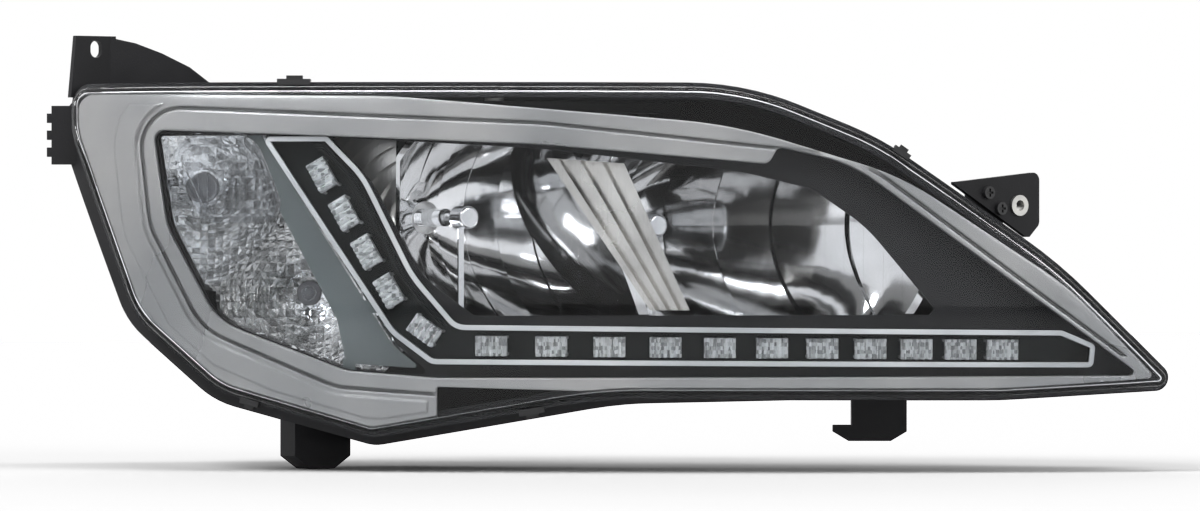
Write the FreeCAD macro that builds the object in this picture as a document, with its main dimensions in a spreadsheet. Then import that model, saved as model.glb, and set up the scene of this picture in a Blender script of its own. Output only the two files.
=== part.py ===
"""Right-hand headlight assembly of a light van: a clear wrap-round lens on a black housing, with
a silver surround, twin H7 reflectors on an aiming frame, a daytime-light blade of sixteen LED
optics, a turn-signal chamber, rear caps, levelling drive, adjusters and fixing brackets.

Units: millimetres. Frame: vehicle axes, -Y forward along the beams, +Z up, +X towards the
vehicle's middle. Origin: centre of the bore of the inner fixing sleeve.
Most pieces behind the lens are laid out in the lens frame, which is the vehicle frame turned
about Z by beam_yaw, so that its own -Y looks straight out of the swept lens.
"""
import FreeCAD, Part
import math
import os
import Sketcher
from FreeCAD import Placement, Rotation, Vector

doc = FreeCAD.newDocument("headlight")
sheet = doc.addObject("Spreadsheet::Sheet", "Sizes")
PARTS = []

# ---------------------------------------------------------------------------------------------
# Driving dimensions
# ---------------------------------------------------------------------------------------------

SIZES = {
    # lens form, in the lens frame
    "beam_yaw": 35.0,  # angle from the beams to the lens frame
    "crown_x": -185.0,  # where the lens stands furthest forward
    "crown_y": -75.0,
    "crown_z": -60.0,
    "plan_radius": 1000.0,
    "side_radius": 700.0,
    "wrap_start_x": -490.0,  # the lens sweeps back harder beyond here
    "wrap_depth": 35.0,
    # lens wall, flange and seal channel: depths behind the lens front
    "lens_wall": 3.0,
    "lens_edge_round": 4.5,
    "flange_width": 3.0,
    "flange_depth": 26.0,
    "flange_thickness": 3.7,
    "rim_depth": 30.0,
    "foot_depth": 40.0,
    "seal_thickness": 2.0,
    "channel_floor": 4.0,
    "channel_gap": 1.0,
    "channel_wall": 2.4,
    # housing
    "housing_wall": 2.8,
    "back_y": 135.0,
    "back_x": -380.0,
    "back_radius": 1400.0,
    "back_round": 6.0,
    "shoulder_depth": 42.0,
    # silver surround
    "bezel_depth": 14.0,
    "bezel_wall": 2.4,
    "bezel_skirt": 15.7,
    "bezel_lens_gap": 0.7,
    "groove_width": 2.2,
    "groove_deep": 1.9,
    "ridge_offset": 6.0,
    "ridge_width": 13.0,
    "ridge_height": 2.0,
    # dark panel behind the surround
    "panel_depth": 34.0,
    "panel_wall": 2.5,
    "collar_width": 1.8,
    "collar_deep": 5.5,
    "seat_gap": 0.3,
    # daytime light
    "tray_depth": 22.0,
    "tray_deep": 20.0,
    "tray_wall": 1.8,
    "rim_width": 3.2,
    "rim_height": 4.0,
    "board_inset": 3.2,
    "board_thickness": 1.6,
    "optic_width": 20.0,
    "optic_height": 12.6,
    "optic_base": 4.0,
    "optic_rib": 3.0,
    "optic_ribs": 5,
    "optic_depth": 26.5,
    "optic_first_x": -333.3,
    "optic_first_z": -88.8,
    "optic_pitch": 37.9,
    "optic_pitch_step": 1.25,
    "optic_count": 11,
    "optic_fall": 0.0075,  # how much the row falls towards the tip, per unit of length
    "blade_first_x": -441.0,
    "blade_first_z": 19.5,
    "blade_step_x": 14.3,
    "blade_step_z": -24.5,
    "blade_count": 4,
    "corner_optic_x": -375.5,
    "corner_optic_z": -79.0,
    "led_side": 3.0,
    "led_height": 1.0,
    "sink_fin": 1.2,
    "sink_height": 9.0,
    "sink_pitch": 7.0,
    "sink_fins": 26,
    # reflectors
    "focal": 24.0,
    "facet_focal_step": 1.5,
    "facet_count": 9,
    "bowl_wall": 2.5,
    "bowl_front": 52.0,
    "low_x": -281.3,
    "low_y": 255.6,
    "low_z": -7.6,
    "high_x": -183.0,
    "high_y": 186.7,
    "high_z": -12.6,
    "bulb_hole": 10.6,
    "bulb_neck": 17.0,
    "bulb_neck_length": 12.0,
    "split_top_x": -240.0,
    "split_lean": 35.0,
    "flute_first": 11.5,
    "flute_width": 4.7,
    "flute_count": 15,
    "flute_height": 3.0,
    "divider_depth": 48.2,
    # bulbs and their shields
    "glass_radius": 5.8,
    "glass_length": 27.0,
    "base_radius": 10.5,
    "base_flange": 13.5,
    "base_flange_thickness": 1.6,
    "base_length": 9.0,
    "base_reach": 8.0,
    "blade_width": 6.3,
    "blade_thickness": 0.8,
    "blade_length": 8.0,
    "blade_spacing": 4.5,
    "shield_radius": 7.2,
    "shield_length": 13.0,
    "shield_wall": 0.8,
    "shield_reach": 52.0,
    "shield_strut": 4.0,
    "wire_radius": 0.8,
    "clip_half_width": 11.6,
    "clip_hinge_rise": 20.0,
    # aiming
    "aim_y": 205.0,
    "aim_z": 55.0,
    "aim_x": -262.0,
    "beam_width": 14.0,
    "beam_height": 6.5,
    "beam_rise": 5.0,
    "beam_left_x": -302.0,
    "beam_right_x": -120.0,
    "ear_thickness": 6.0,
    "ear_radius": 4.5,
    "pin_radius": 2.0,
    "running_gap": 0.06,
    "low_ear_x": -290.0,
    "high_ear_x": -150.0,
    "stud_radius": 3.0,
    "rod_drop": 140.0,
    "rod_radius": 2.6,
    "ball_radius": 4.5,
    "ball_gap": 0.2,
    "nose_radius": 11.0,
    "nose_length": 48.0,
    "motor_radius": 19.0,
    "motor_length": 28.0,
    "knob_radius": 8.0,
    "knob_length": 9.0,
    "adjuster_x": -128.0,
    "adjuster_z": 50.0,
    "adjuster_radius": 3.5,
    "nut_radius": 6.0,
    # rear openings
    "cap_neck_in": 41.0,
    "cap_neck_wall": 4.6,
    "low_neck_y": 401.0,
    "high_neck_y": 328.0,
    "cap_gap": 0.4,
    "cap_flange": 47.0,
    "cap_flange_thickness": 3.0,
    "cap_skirt": 12.0,
    "cap_skirt_wall": 2.4,
    "cap_crown": 6.0,
    "cap_crown_radius": 36.0,
    "cap_grip_length": 58.0,
    "cap_grip_width": 8.0,
    "cap_grip_height": 12.0,
    "lug_height": 1.9,
    "lug_thickness": 3.0,
    "lug_angle": 14.0,
    "cap_twist": 25.0,
    "gasket_thickness": 2.0,
    "gasket_width": 3.6,
    "turn_x": -520.0,
    "turn_z": 12.0,
    "turn_neck_in": 14.0,
    "turn_neck_wall": 3.0,
    "turn_neck_y": 141.0,
    "turn_cup_y": 80.0,
    "turn_flange": 18.5,
    "turn_plug_length": 14.0,
    "turn_nose_gap": 4.0,
    "turn_bulb_radius": 9.0,
    "turn_bulb_length": 28.0,
    "grip_width": 6.0,
    "grip_height": 9.0,
    "holder_thickness": 3.0,
    "turn_focal": 17.0,
    "side_x": -452.0,
    "side_z": -56.0,
    "side_focal": 14.0,
    "side_holder_radius": 8.0,
    "side_flange": 11.0,
    "side_tail": 14.0,
    "side_bulb_radius": 4.8,
    "side_bulb_length": 19.0,
    # electrical inlet
    "inlet_x": -332.0,
    "inlet_z": -85.0,
    "inlet_width": 46.0,
    "inlet_height": 26.0,
    "inlet_y": 414.0,
    "inlet_wall": 2.0,
    "inlet_deep": 20.0,
    "pin_side": 1.5,
    # brackets
    "plate_left": 51.0,
    "plate_left_low": 13.2,
    "plate_left_top": 14.6,
    "plate_right": 17.0,
    "plate_right_low": 12.0,
    "plate_low": 20.0,
    "plate_low_left": 6.5,
    "plate_low_right": 9.0,
    "plate_top": 21.5,
    "bracket_thickness": 4.0,
    "bracket_round": 5.0,
    "screw_hole": 2.2,
    "sleeve_radius": 6.6,
    "sleeve_bore": 3.3,
    "sleeve_length": 8.0,
    "tab_x": -430.5,
    "tab_y": 420.0,
    "tab_top": 110.5,
    "tab_width": 30.0,
    "tab_height": 32.0,
    "tab_slot_drop": 8.5,
    "tab_slot_radius": 4.2,
    "tab_slot_length": 11.0,
    "foot_left": -364.0,
    "foot_right": -322.0,
    "foot_low": -168.0,
    "foot_y": 281.0,
    "toe_left": -116.0,
    "toe_right": -69.0,
    "toe_low": -150.0,
    "toe_y": 20.0,
    "screw_head": 4.0,
    "screw_radius": 2.0,
    "screw_length": 14.0,
}

# Corners of the outlines in the lens frame, clockwise from the upper outer corner: the corner that
# each one is placed from (None: the origin), its distance from there in X and Z, and its radius.
CORNERS = {
    "lens": {
        "outer_top": (None, -606.7, 78.8, 13.9),
        "brow": (None, -173.2, 76.9, 189.0),
        "brow_turn": (None, -88.2, 42.2, 189.0),
        "tip_rise": (None, 25.2, -36.5, 315.0),
        "tip": (None, 106.1, -116.2, 8.0),
        "skirt_right": (None, -12.6, -122.8, 315.0),
        "skirt_left": (None, -264.6, -122.2, 315.0),
        "chin": (None, -408.9, -147.4, 13.9),
        "cheek": (None, -507.1, -119.1, 56.7),
        "outer_low": (None, -562.0, -71.2, 56.7),
        "outer_side": (None, -606.1, 47.2, 44.1),
    },
    "tub": {
        "outer_top": ("lens_outer_top", -5.7, -7.6, 16.0),
        "brow": ("lens_brow", 0.0, -3.8, 176.4),
        "brow_turn": ("lens_brow_turn", 0.0, -5.0, 176.4),
        "tip_rise": ("lens_tip_rise", -3.1, -3.2, 252.0),
        "tip": ("lens_tip", -24.2, 4.1, 14.0),
        "skirt_right": ("lens_skirt_right", 0.0, 2.5, 252.0),
        "skirt_left": ("lens_skirt_left", 12.6, -3.2, 252.0),
        "chin": ("lens_chin", 1.3, -5.1, 24.0),
        "cheek": ("lens_cheek", -3.2, -5.6, 56.7),
        "outer_low": ("lens_outer_low", -6.3, -3.1, 56.7),
        "outer_side": ("lens_outer_side", -6.9, -6.2, 37.8),
    },
    "bezel": {
        "outer_top": ("lens_outer_top", 6.9, -7.0, 11.3),
        "brow_left": ("lens_outer_top", 211.3, -10.0, 315.0),
        "brow": ("lens_brow", -8.9, -26.5, 315.0),
        "brow_turn": ("lens_brow_turn", 12.6, -23.9, 189.0),
        "tip_rise": ("lens_tip_rise", 6.3, -15.8, 189.0),
        "tip": ("lens_tip", -19.2, 7.2, 2.5),
        "skirt_right": ("lens_skirt_right", 0.0, 5.6, 252.0),
        "skirt_left": ("lens_skirt_left", 0.0, 5.0, 252.0),
        "chin_step": ("lens_chin", 41.6, 33.0, 1.3),
        "chin_right": ("lens_chin", 41.6, 12.0, 1.3),
        "chin": ("lens_chin", 0.7, 5.6, 4.4),
        "cheek": ("lens_cheek", 3.1, 5.1, 50.4),
        "outer_low": ("lens_outer_low", 5.1, 3.8, 50.4),
        "outer_side": ("lens_outer_side", 5.7, -1.2, 37.8),
    },
    "groove": {
        "outer_top": ("window_outer_top", -9.0, 14.0, 24.0),
        "brow": ("window_brow", 4.0, 12.0, 189.0),
        "brow_turn": ("window_brow_turn", 4.0, 2.4, 94.5),
        "tip_rise": ("window_tip_rise", 2.0, 1.8, 189.0),
        "tip": ("window_tip", 8.0, -3.0, 2.5),
        "chin": ("window_chin", -3.0, -9.0, 8.0),
        "cheek": ("window_cheek", -6.0, -9.0, 37.8),
        "outer_low": ("window_outer_low", -9.0, -4.0, 44.1),
        "outer_side": ("window_outer_side", -9.5, 0.0, 37.8),
    },
    "window": {
        "outer_top": ("bezel_outer_top", 49.8, -23.3, 6.3),
        "brow": ("bezel_brow", -122.2, -12.0, 189.0),
        "notch_low": ("bezel_brow", 23.3, -24.6, 5.0),
        "notch_high": ("bezel_brow", 29.6, -13.9, 5.0),
        "brow_turn": ("bezel_brow_turn", -31.5, 8.2, 94.5),
        "tip_rise": ("bezel_tip_rise", -30.2, 0.0, 189.0),
        "tip": ("bezel_tip", -9.4, 1.3, 2.5),
        "chin": ("bezel_chin", 40.9, 32.8, 2.5),
        "cheek": ("bezel_cheek", 78.8, 9.4, 37.8),
        "outer_low": ("bezel_outer_low", 49.8, -6.3, 44.1),
        "outer_side": ("bezel_outer_side", 59.9, -58.6, 37.8),
    },
    "main": {
        "outer_top": ("window_outer_top", 113.4, -4.9, 1.9),
        "brow": ("window_brow", 0.0, -2.5, 189.0),
        "brow_turn": ("window_notch_low", -17.6, -4.4, 126.0),
        "inner_top": ("window_notch_low", 27.8, -15.7, 12.6),
        "inner_side": ("window_brow_turn", 10.1, -39.7, 94.5),
        "inner_low": ("window_tip", -131.0, 42.2, 1.9),
        "foot": ("window_tip", -134.2, 38.4, 1.9),
        "outer_low": ("window_chin", 23.3, 39.1, 7.6),
        "outer_side": ("window_chin", -10.7, 64.3, 63.0),
        "outer_bend": ("window_outer_top", 141.8, -34.0, 75.6),
    },
    "drl": {
        "blade_outer": ("window_outer_top", 73.1, -6.3, 1.9),
        "blade_inner": ("window_outer_top", 112.1, -6.3, 1.9),
        "blade_bend": ("window_outer_top", 135.5, -30.2, 56.7),
        "blade_low": ("window_chin", -15.7, 64.3, 75.6),
        "corner_in": ("window_chin", 12.0, 32.1, 12.6),
        "end_top": ("window_tip", -51.0, 27.2, 1.9),
        "end_nose": ("window_tip", -30.9, 18.8, 2.5),
        "end_low": ("window_tip", -32.1, 6.6, 2.5),
        "corner_out": ("window_chin", -3.1, 10.1, 8.8),
        "blade_back": ("window_chin", -28.3, 29.0, 25.2),
    },
    "turn": {
        "outer_top": ("window_outer_top", 1.9, -1.9, 3.8),
        "inner_top": ("window_outer_top", 72.5, -1.9, 1.9),
        "inner_low": ("window_chin", -25.8, 20.8, 6.3),
        "chin": ("window_chin", -3.1, 1.3, 2.5),
        "cheek": ("window_cheek", 0.0, 0.6, 37.8),
        "outer_low": ("window_outer_low", 0.0, 1.2, 37.8),
        "outer_side": ("window_outer_side", 1.9, 0.0, 37.8),
    },
    "cell": {
        "outer_top": ("main_outer_top", 45.0, 5.0, 3.0),
        "brow": ("main_brow", 0.0, 5.5, 189.0),
        "brow_turn": ("main_brow_turn", 2.0, 5.5, 126.0),
        "inner_top": ("main_inner_top", 4.5, 4.5, 14.0),
        "inner_side": ("main_inner_side", 5.0, 3.5, 94.5),
        "inner_low": ("main_inner_low", 6.5, 2.0, 2.0),
        "foot": ("main_foot", 6.5, -4.5, 2.0),
        "outer_low": ("main_outer_low", -48.0, -4.0, 3.0),
    },
    "flutes": {
        "outer_top": ("main_outer_top", -8.0, 5.0, 2.0),
        "inner_top": ("cell_outer_top", -2.7, 0.0, 2.0),
        "low": ("cell_outer_top", -2.7, -66.0, 2.0),
        "outer_low": ("main_outer_top", -8.0, -46.0, 2.0),
    },
    "divider": {
        "outer_top": ("main_brow", 6.0, -6.0, 4.0),
        "inner_top": ("main_brow", 55.0, -9.5, 4.0),
        "inner_low": ("main_outer_low", 136.0, 3.5, 3.0),
        "outer_low": ("main_outer_low", 111.0, 3.5, 3.0),
    },
    "turn_frame": {
        "outer_top": ("turn_outer_top", 12.0, -8.0, 9.0),
        "inner_top": ("turn_outer_top", 60.0, -8.0, 12.0),
        "inner_low": ("turn_outer_top", 78.0, -52.0, 7.0),
        "outer_low": ("turn_outer_top", 34.0, -52.0, 7.0),
    },
    "tint": {
        "outer_top": ("turn_inner_top", -16.0, -2.0, 5.0),
        "inner_top": ("turn_inner_top", -2.5, -2.0, 1.5),
        "inner_low": ("turn_inner_low", -2.8, 0.0, 5.0),
        "chin": ("turn_chin", -7.0, 4.6, 1.5),
        "cheek": ("turn_cheek", 0.0, 4.0, 3.0),
        "outer_bend": ("turn_inner_low", -38.0, 16.0, 10.0),
    },
}

for row, (alias, value) in enumerate(SIZES.items(), start=1):
    sheet.set("A%d" % row, alias)
    sheet.set("B%d" % row, str(value))
    sheet.setAlias("B%d" % row, alias)
row = len(SIZES)
for outline, corners in CORNERS.items():
    for corner, (_, across, up, round_radius) in corners.items():
        for ending, value in (("x", across), ("z", up), ("round", round_radius)):
            row += 1
            sheet.set("A%d" % row, "%s_%s_%s" % (outline, corner, ending))
            sheet.set("B%d" % row, str(value))
            sheet.setAlias("B%d" % row, "%s_%s_%s" % (outline, corner, ending))
doc.recompute()


def size(alias):
    """The value of one cell of the sheet."""
    return float(sheet.get(alias))


YAW = size("beam_yaw")
SIN, COS = math.sin(math.radians(YAW)), math.cos(math.radians(YAW))
LENS_FRAME = Placement(Vector(0, 0, 0), Rotation(Vector(0, 0, 1), -YAW))
WORLD = Placement()
FAR = 500.0  # longer than anything that it cuts


# ---------------------------------------------------------------------------------------------
# Outlines, layers and plates of the lens frame
# ---------------------------------------------------------------------------------------------

def corner_at(outline, corner):
    """Where a corner lies, following its chain of parents to the origin."""
    parent = CORNERS[outline][corner][0]
    across = size("%s_%s_x" % (outline, corner))
    up = size("%s_%s_z" % (outline, corner))
    if parent is None:
        return Vector(across, 0, up)
    for other in CORNERS:
        if parent.startswith(other + "_") and parent[len(other) + 1:] in CORNERS[other]:
            return corner_at(other, parent[len(other) + 1:]) + Vector(across, 0, up)
    raise ValueError("no corner named " + parent)


def outline_corners(outline):
    """The corners of an outline with their radii."""
    return [
        (corner_at(outline, corner), size("%s_%s_round" % (outline, corner)))
        for corner in CORNERS[outline]
    ]


def grown(corners, grow):
    """A clockwise outline moved outwards by grow, or inwards where grow is negative."""
    count = len(corners)
    lines = []
    for index in range(count):
        start, end = corners[index][0], corners[(index + 1) % count][0]
        along = (end - start).normalize()
        outward = Vector(-along.z, 0, along.x)
        lines.append((start + outward * grow, along))
    moved = []
    for index in range(count):
        (point_a, along_a), (point_b, along_b) = lines[index - 1], lines[index]
        cross = along_a.x * along_b.z - along_a.z * along_b.x
        gap = point_b - point_a
        reach = (gap.x * along_b.z - gap.z * along_b.x) / cross
        bend = 1.0 if cross < 0 else -1.0
        moved.append((point_a + along_a * reach, corners[index][1] + bend * grow))
    return moved


def rounded_wire(corners, y=0.0):
    """A closed wire in a plane across Y: straight runs joined by tangent arcs."""
    count = len(corners)
    runs = []
    for index, (point, radius) in enumerate(corners):
        before = corners[index - 1][0] - point
        after = corners[(index + 1) % count][0] - point
        half = before.getAngle(after) / 2
        longest = 0.49 * min(before.Length, after.Length) * math.tan(half)
        radius = min(radius, longest)
        before.normalize()
        after.normalize()
        if radius < 0.3:
            runs.append((point, None, point))
            continue
        reach = radius / math.tan(half)
        middle = (before + after).normalize() * (radius / math.sin(half) - radius)
        runs.append((point + before * reach, point + middle, point + after * reach))
    lift = Vector(0, y, 0)
    edges = []
    for index, (start, middle, end) in enumerate(runs):
        if middle is not None:
            edges.append(Part.Arc(start + lift, middle + lift, end + lift).toShape())
        following = runs[(index + 1) % count][0]
        edges.append(Part.LineSegment(end + lift, following + lift).toShape())
    return Part.Wire(edges)


def prism(outline, grow=0.0):
    """An outline, grown or shrunk, drawn out along Y through the whole depth of the lamp."""
    wire = rounded_wire(grown(outline_corners(outline), grow), -FAR)
    return Part.Face(wire).extrude(Vector(0, 2 * FAR, 0))


def lens_front(x, z):
    """Depth of the lens front: a shallow dome that sweeps back at its outer end."""
    depth = size("crown_y") + (x - size("crown_x")) ** 2 / (2 * size("plan_radius"))
    depth += (z - size("crown_z")) ** 2 / (2 * size("side_radius"))
    reach = (size("wrap_start_x") - x) / (size("wrap_start_x") - size("lens_outer_top_x"))
    return depth + size("wrap_depth") * max(0.0, reach) ** 3


def housing_back(x, z):
    """Depth of the housing's back wall, outside."""
    depth = size("back_y") - (x - size("back_x")) ** 2 / (2 * size("back_radius"))
    return depth - (z - size("crown_z")) ** 2 / (4 * size("back_radius"))


def skin(depth_at):
    """A smooth face over the whole lamp, at the depth that depth_at gives."""
    columns, rows = 16, 6
    left = size("lens_outer_top_x") - 60
    right = size("lens_tip_x") + 60
    low = size("lens_chin_z") - 60
    high = size("lens_outer_top_z") + 60
    grid = []
    for column in range(columns):
        x = left + (right - left) * column / (columns - 1)
        line = []
        for level in range(rows):
            z = low + (high - low) * level / (rows - 1)
            line.append(Vector(x, depth_at(x, z), z))
        grid.append(line)
    surface = Part.BSplineSurface()
    surface.interpolate(grid)
    return surface.toShape()


FRONT = skin(lens_front)
BACK = skin(housing_back)


def layer(near, far):
    """Everything between two depths behind the lens front."""
    return FRONT.translated(Vector(0, near, 0)).extrude(Vector(0, far - near, 0))


def plate(outline, near, far, grow=0.0):
    """A panel with an outline that follows the lens front from one depth to another."""
    return prism(outline, grow).common(layer(near, far))


def box(x_span, y_span, z_span):
    """A box from its spans."""
    lengths = [span[1] - span[0] for span in (x_span, y_span, z_span)]
    return Part.makeBox(*lengths, Vector(x_span[0], y_span[0], z_span[0]))


def rod(radius, start, end):
    """A cylinder from one point to another."""
    return Part.makeCylinder(radius, (end - start).Length, start, end - start)


def tube(outer, inner, start, end):
    """A pipe from one point to another."""
    return rod(outer, start, end).cut(rod(inner, start, end))


def to_lens(shape):
    """A shape of the vehicle frame, seen from the lens frame."""
    copy = shape.copy()
    copy.rotate(Vector(0, 0, 0), Vector(0, 0, 1), YAW)
    return copy


def to_vehicle(shape):
    """A shape of the lens frame, seen from the vehicle frame."""
    copy = shape.copy()
    copy.rotate(Vector(0, 0, 0), Vector(0, 0, 1), -YAW)
    return copy


def lens_point(x, y, z):
    """A point of the vehicle frame, seen from the lens frame."""
    return Vector(x * COS - y * SIN, x * SIN + y * COS, z)


def fused(shapes):
    """Several shapes as one, without the seams between them."""
    whole = shapes[0].multiFuse(shapes[1:]) if len(shapes) > 1 else shapes[0]
    return whole.removeSplitter()


def feature(label, shape, placement=WORLD):
    """A sub-part whose shape is worked out here from the sheet."""
    item = doc.addObject("Part::Feature", label)
    item.Label = label
    item.Shape = shape
    item.Placement = placement
    PARTS.append(item)
    return item


# ---------------------------------------------------------------------------------------------
# Lens, seal and housing
# ---------------------------------------------------------------------------------------------

FLANGE = size("flange_width")
WALL = size("lens_wall")
RIM = size("rim_depth")
FOOT = size("foot_depth")
FLOOR = FOOT + size("seal_thickness")
RIM_BACK = FLOOR + size("channel_floor")
GROOVE_OUT = size("channel_gap") - FLANGE
GROOVE_IN = -FLANGE - WALL - size("channel_gap")
RIM_IN = GROOVE_IN - size("channel_wall")
RIM_OUT = GROOVE_OUT + size("channel_wall")


def front_edges(solid):
    """The edges all round the foremost skin of a lens-shaped solid."""
    skins = [face for face in solid.Faces if "BSpline" in face.Surface.TypeId]
    return min(skins, key=lambda face: face.CenterOfMass.y).Edges


def outer_lens():
    """One-piece clear cover: domed front, side wall, flange over the rim and foot in the channel."""
    outside = plate("lens", 0, FOOT, -FLANGE)
    outside = outside.makeFillet(size("lens_edge_round"), front_edges(outside))
    inside = plate("lens", WALL, FOOT + 5, -FLANGE - WALL)
    inside = inside.makeFillet(size("lens_edge_round") - 0.8 * WALL, front_edges(inside))
    start = size("flange_depth")
    flange = plate("lens", start, start + size("flange_thickness")).cut(prism("lens", -FLANGE - 1))
    return fused([outside.cut(inside), flange])


def neck(x, z, inside, wall, end_y, reach):
    """Outer pipe and bore of a round access neck along the beams, as lens-frame shapes."""
    start, end = Vector(x, end_y - reach, z), Vector(x, end_y, z)
    return to_lens(rod(inside + wall, start, end)), to_lens(rod(inside, start, end + Vector(0, 1, 0)))


LOW = Vector(size("low_x"), size("low_y"), size("low_z"))
HIGH = Vector(size("high_x"), size("high_y"), size("high_z"))
CAP_IN, CAP_WALL = size("cap_neck_in"), size("cap_neck_wall")
NECKS = {"low": (LOW, size("low_neck_y")), "high": (HIGH, size("high_neck_y"))}
MOTOR = Vector(size("aim_x"), size("aim_y"), size("aim_z") - size("rod_drop"))
INLET = Vector(size("inlet_x"), size("inlet_y"), size("inlet_z"))
TURN = Vector(size("turn_x"), size("turn_neck_y"), size("turn_z"))
ADJUSTER = Vector(size("adjuster_x"), size("aim_y"), size("adjuster_z"))


def back_at(point):
    """Where a line through a vehicle-frame point along the beams leaves the back wall."""
    y = point.y
    for _ in range(12):
        seen = lens_point(point.x, y, point.z)
        y += (housing_back(seen.x, seen.z) - seen.y) * COS
    return y


BRACKET_BACK = size("bracket_thickness") / 2
BRACKET_SCREWS = ((-15.0, -2.0), (-25.0, 8.0))
MOTOR_FACE = back_at(MOTOR) + size("motor_radius") * SIN + 3
ADJUSTER_FACE = back_at(ADJUSTER) + 8


def ring_sector(inside, outside, near_y, far_y, centre, start_angle, sweep):
    """Part of a flat ring across the beams. Its angles start from +X and turn about +Y."""
    profile = Part.makePolygon([
        Vector(inside, near_y, 0), Vector(outside, near_y, 0), Vector(outside, far_y, 0),
        Vector(inside, far_y, 0), Vector(inside, near_y, 0),
    ])
    sector = Part.Face(profile).revolve(Vector(0, 0, 0), Vector(0, 1, 0), sweep)
    sector.rotate(Vector(0, 0, 0), Vector(0, 1, 0), start_angle)
    return sector.translated(Vector(centre.x, 0, centre.z))


def bayonet_slots(centre, end_y):
    """Entry slots and locking grooves for the three lugs of a round cap."""
    outside = CAP_IN + size("lug_height") + size("cap_gap")
    lug, twist = size("lug_angle"), size("cap_twist")
    deep = end_y - size("cap_skirt") - 1.0
    groove_end = deep + size("lug_thickness") + 1.4
    shapes = []
    for turn in range(3):
        first = 120 * turn - 2
        shapes.append(ring_sector(CAP_IN - 1, outside, deep, groove_end, centre, first, twist + lug + 4))
        entry = first + twist
        shapes.append(ring_sector(CAP_IN - 1, outside, deep, end_y + 1, centre, entry, lug + 4))
    return shapes


def back_ribs():
    """Stiffening ribs on the back wall, upright in the lens frame."""
    ribs = []
    tub = prism("tub", -12.0)
    shell = BACK.translated(Vector(0, -1, 0)).extrude(Vector(0, 6.0, 0)).common(tub)
    for x in (-545, -470, -215, -150, -85, -20):
        ribs.append(shell.common(box((x - 1.2, x + 1.2), (-FAR, FAR), (-FAR, FAR))))
    return ribs


def flat_plate(corners, depth, thick):
    """A plate across Y from the (x, z) corners of its face."""
    wire = Part.makePolygon([Vector(x, depth, z) for x, z in corners + corners[:1]])
    return Part.Face(wire).extrude(Vector(0, thick, 0))


def fixings():
    """Moulded fixing points: bracket block, slotted outer tab and the two lower feet."""
    block = to_lens(box((-30, -9), (BRACKET_BACK + size("seat_gap"), 15), (-16, 15)))
    thick, tab_y = size("bracket_thickness"), size("tab_y")
    left = size("tab_x") - size("tab_width") / 2
    right = left + size("tab_width")
    top, low = size("tab_top"), size("tab_top") - size("tab_height")
    tab = flat_plate([(left - 4, low - 8), (left, top), (right, top), (right, low - 8)], tab_y - thick, thick)
    tab = to_lens(tab)
    corner = lens_point(right, tab_y - thick / 2, 0)
    gusset = flat_plate([(corner.x - 6, low - 12), (corner.x - 2, top - 1), (corner.x + 14, top - 4.5),
                         (corner.x + 31, top - 11), (corner.x + 49, top - 20), (corner.x + 67, low - 2),
                         (corner.x + 67, low - 12)], corner.y - 4, thick)
    base = box((corner.x - 26, corner.x + 67), (corner.y - 16, corner.y), (low - 12, low - 2))
    left, right, low = size("foot_left"), size("foot_right"), size("foot_low")
    leg = [(left, low + 8), (left, low + 72), (right, low + 72), (right, low + 8)]
    outer = [flat_plate(leg, size("foot_y"), 4.0)]
    sole = [
        (left, low + 8), (left + 12, low), (right - 12, low),
        (right, low + 8), (right, low + 12), (left, low + 12),
    ]
    outer.append(flat_plate(sole, size("foot_y"), 17.0))
    for x in (left, right - 3):
        outer.append(box((x, x + 3), (size("foot_y"), size("foot_y") + 17), (low + 8, low + 72)))
    left, right, low = size("toe_left"), size("toe_right"), size("toe_low")
    toe = [(left, low + 6), (left + 10, low), (right - 10, low), (right, low + 6), (right, low + 40),
           (left + 12, low + 40), (left + 12, low + 10), (left, low + 10)]
    inner = [flat_plate(toe, size("toe_y"), 4.0)]
    inner.append(box((left + 10, right - 10), (size("toe_y"), size("toe_y") + 15), (low, low + 3)))
    for x in (left + 12, right - 13):
        inner.append(box((x, x + 3), (size("toe_y"), size("toe_y") + 15), (low, low + 40)))
    edge = corner_at("lens", "outer_side")
    depth = lens_front(edge.x, edge.z) + RIM
    near, far = depth + 5.5, depth + 15
    lugs = [box((edge.x - 14, edge.x + 4), (near, far), (edge.z - 20, edge.z + 18))]
    for level in (-12, -1, 10):
        lugs.append(box((edge.x - 17, edge.x - 12), (near, far), (edge.z + level - 3, edge.z + level + 3)))
    return [block, tab, gusset, base] + lugs + [to_lens(piece) for piece in outer] + inner


def fixing_holes():
    """Screw holes of the bracket block and the upright slot of the outer tab."""
    holes = []
    for x, z in BRACKET_SCREWS:
        start = Vector(x, BRACKET_BACK - 1, z)
        holes.append(rod(size("screw_radius"), start, start + Vector(0, 12, 0)))
    radius, half = size("tab_slot_radius"), size("tab_slot_length") / 2 - size("tab_slot_radius")
    middle = size("tab_top") - size("tab_slot_drop")
    y = size("tab_y")
    for level in (-1, 1):
        spot = Vector(size("tab_x"), y - 10, middle + level * half)
        holes.append(rod(radius, spot, spot + Vector(0, 20, 0)))
    across = (size("tab_x") - radius, size("tab_x") + radius)
    holes.append(box(across, (y - 10, y + 10), (middle - half, middle + half)))
    return [to_lens(hole) for hole in holes]


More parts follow.
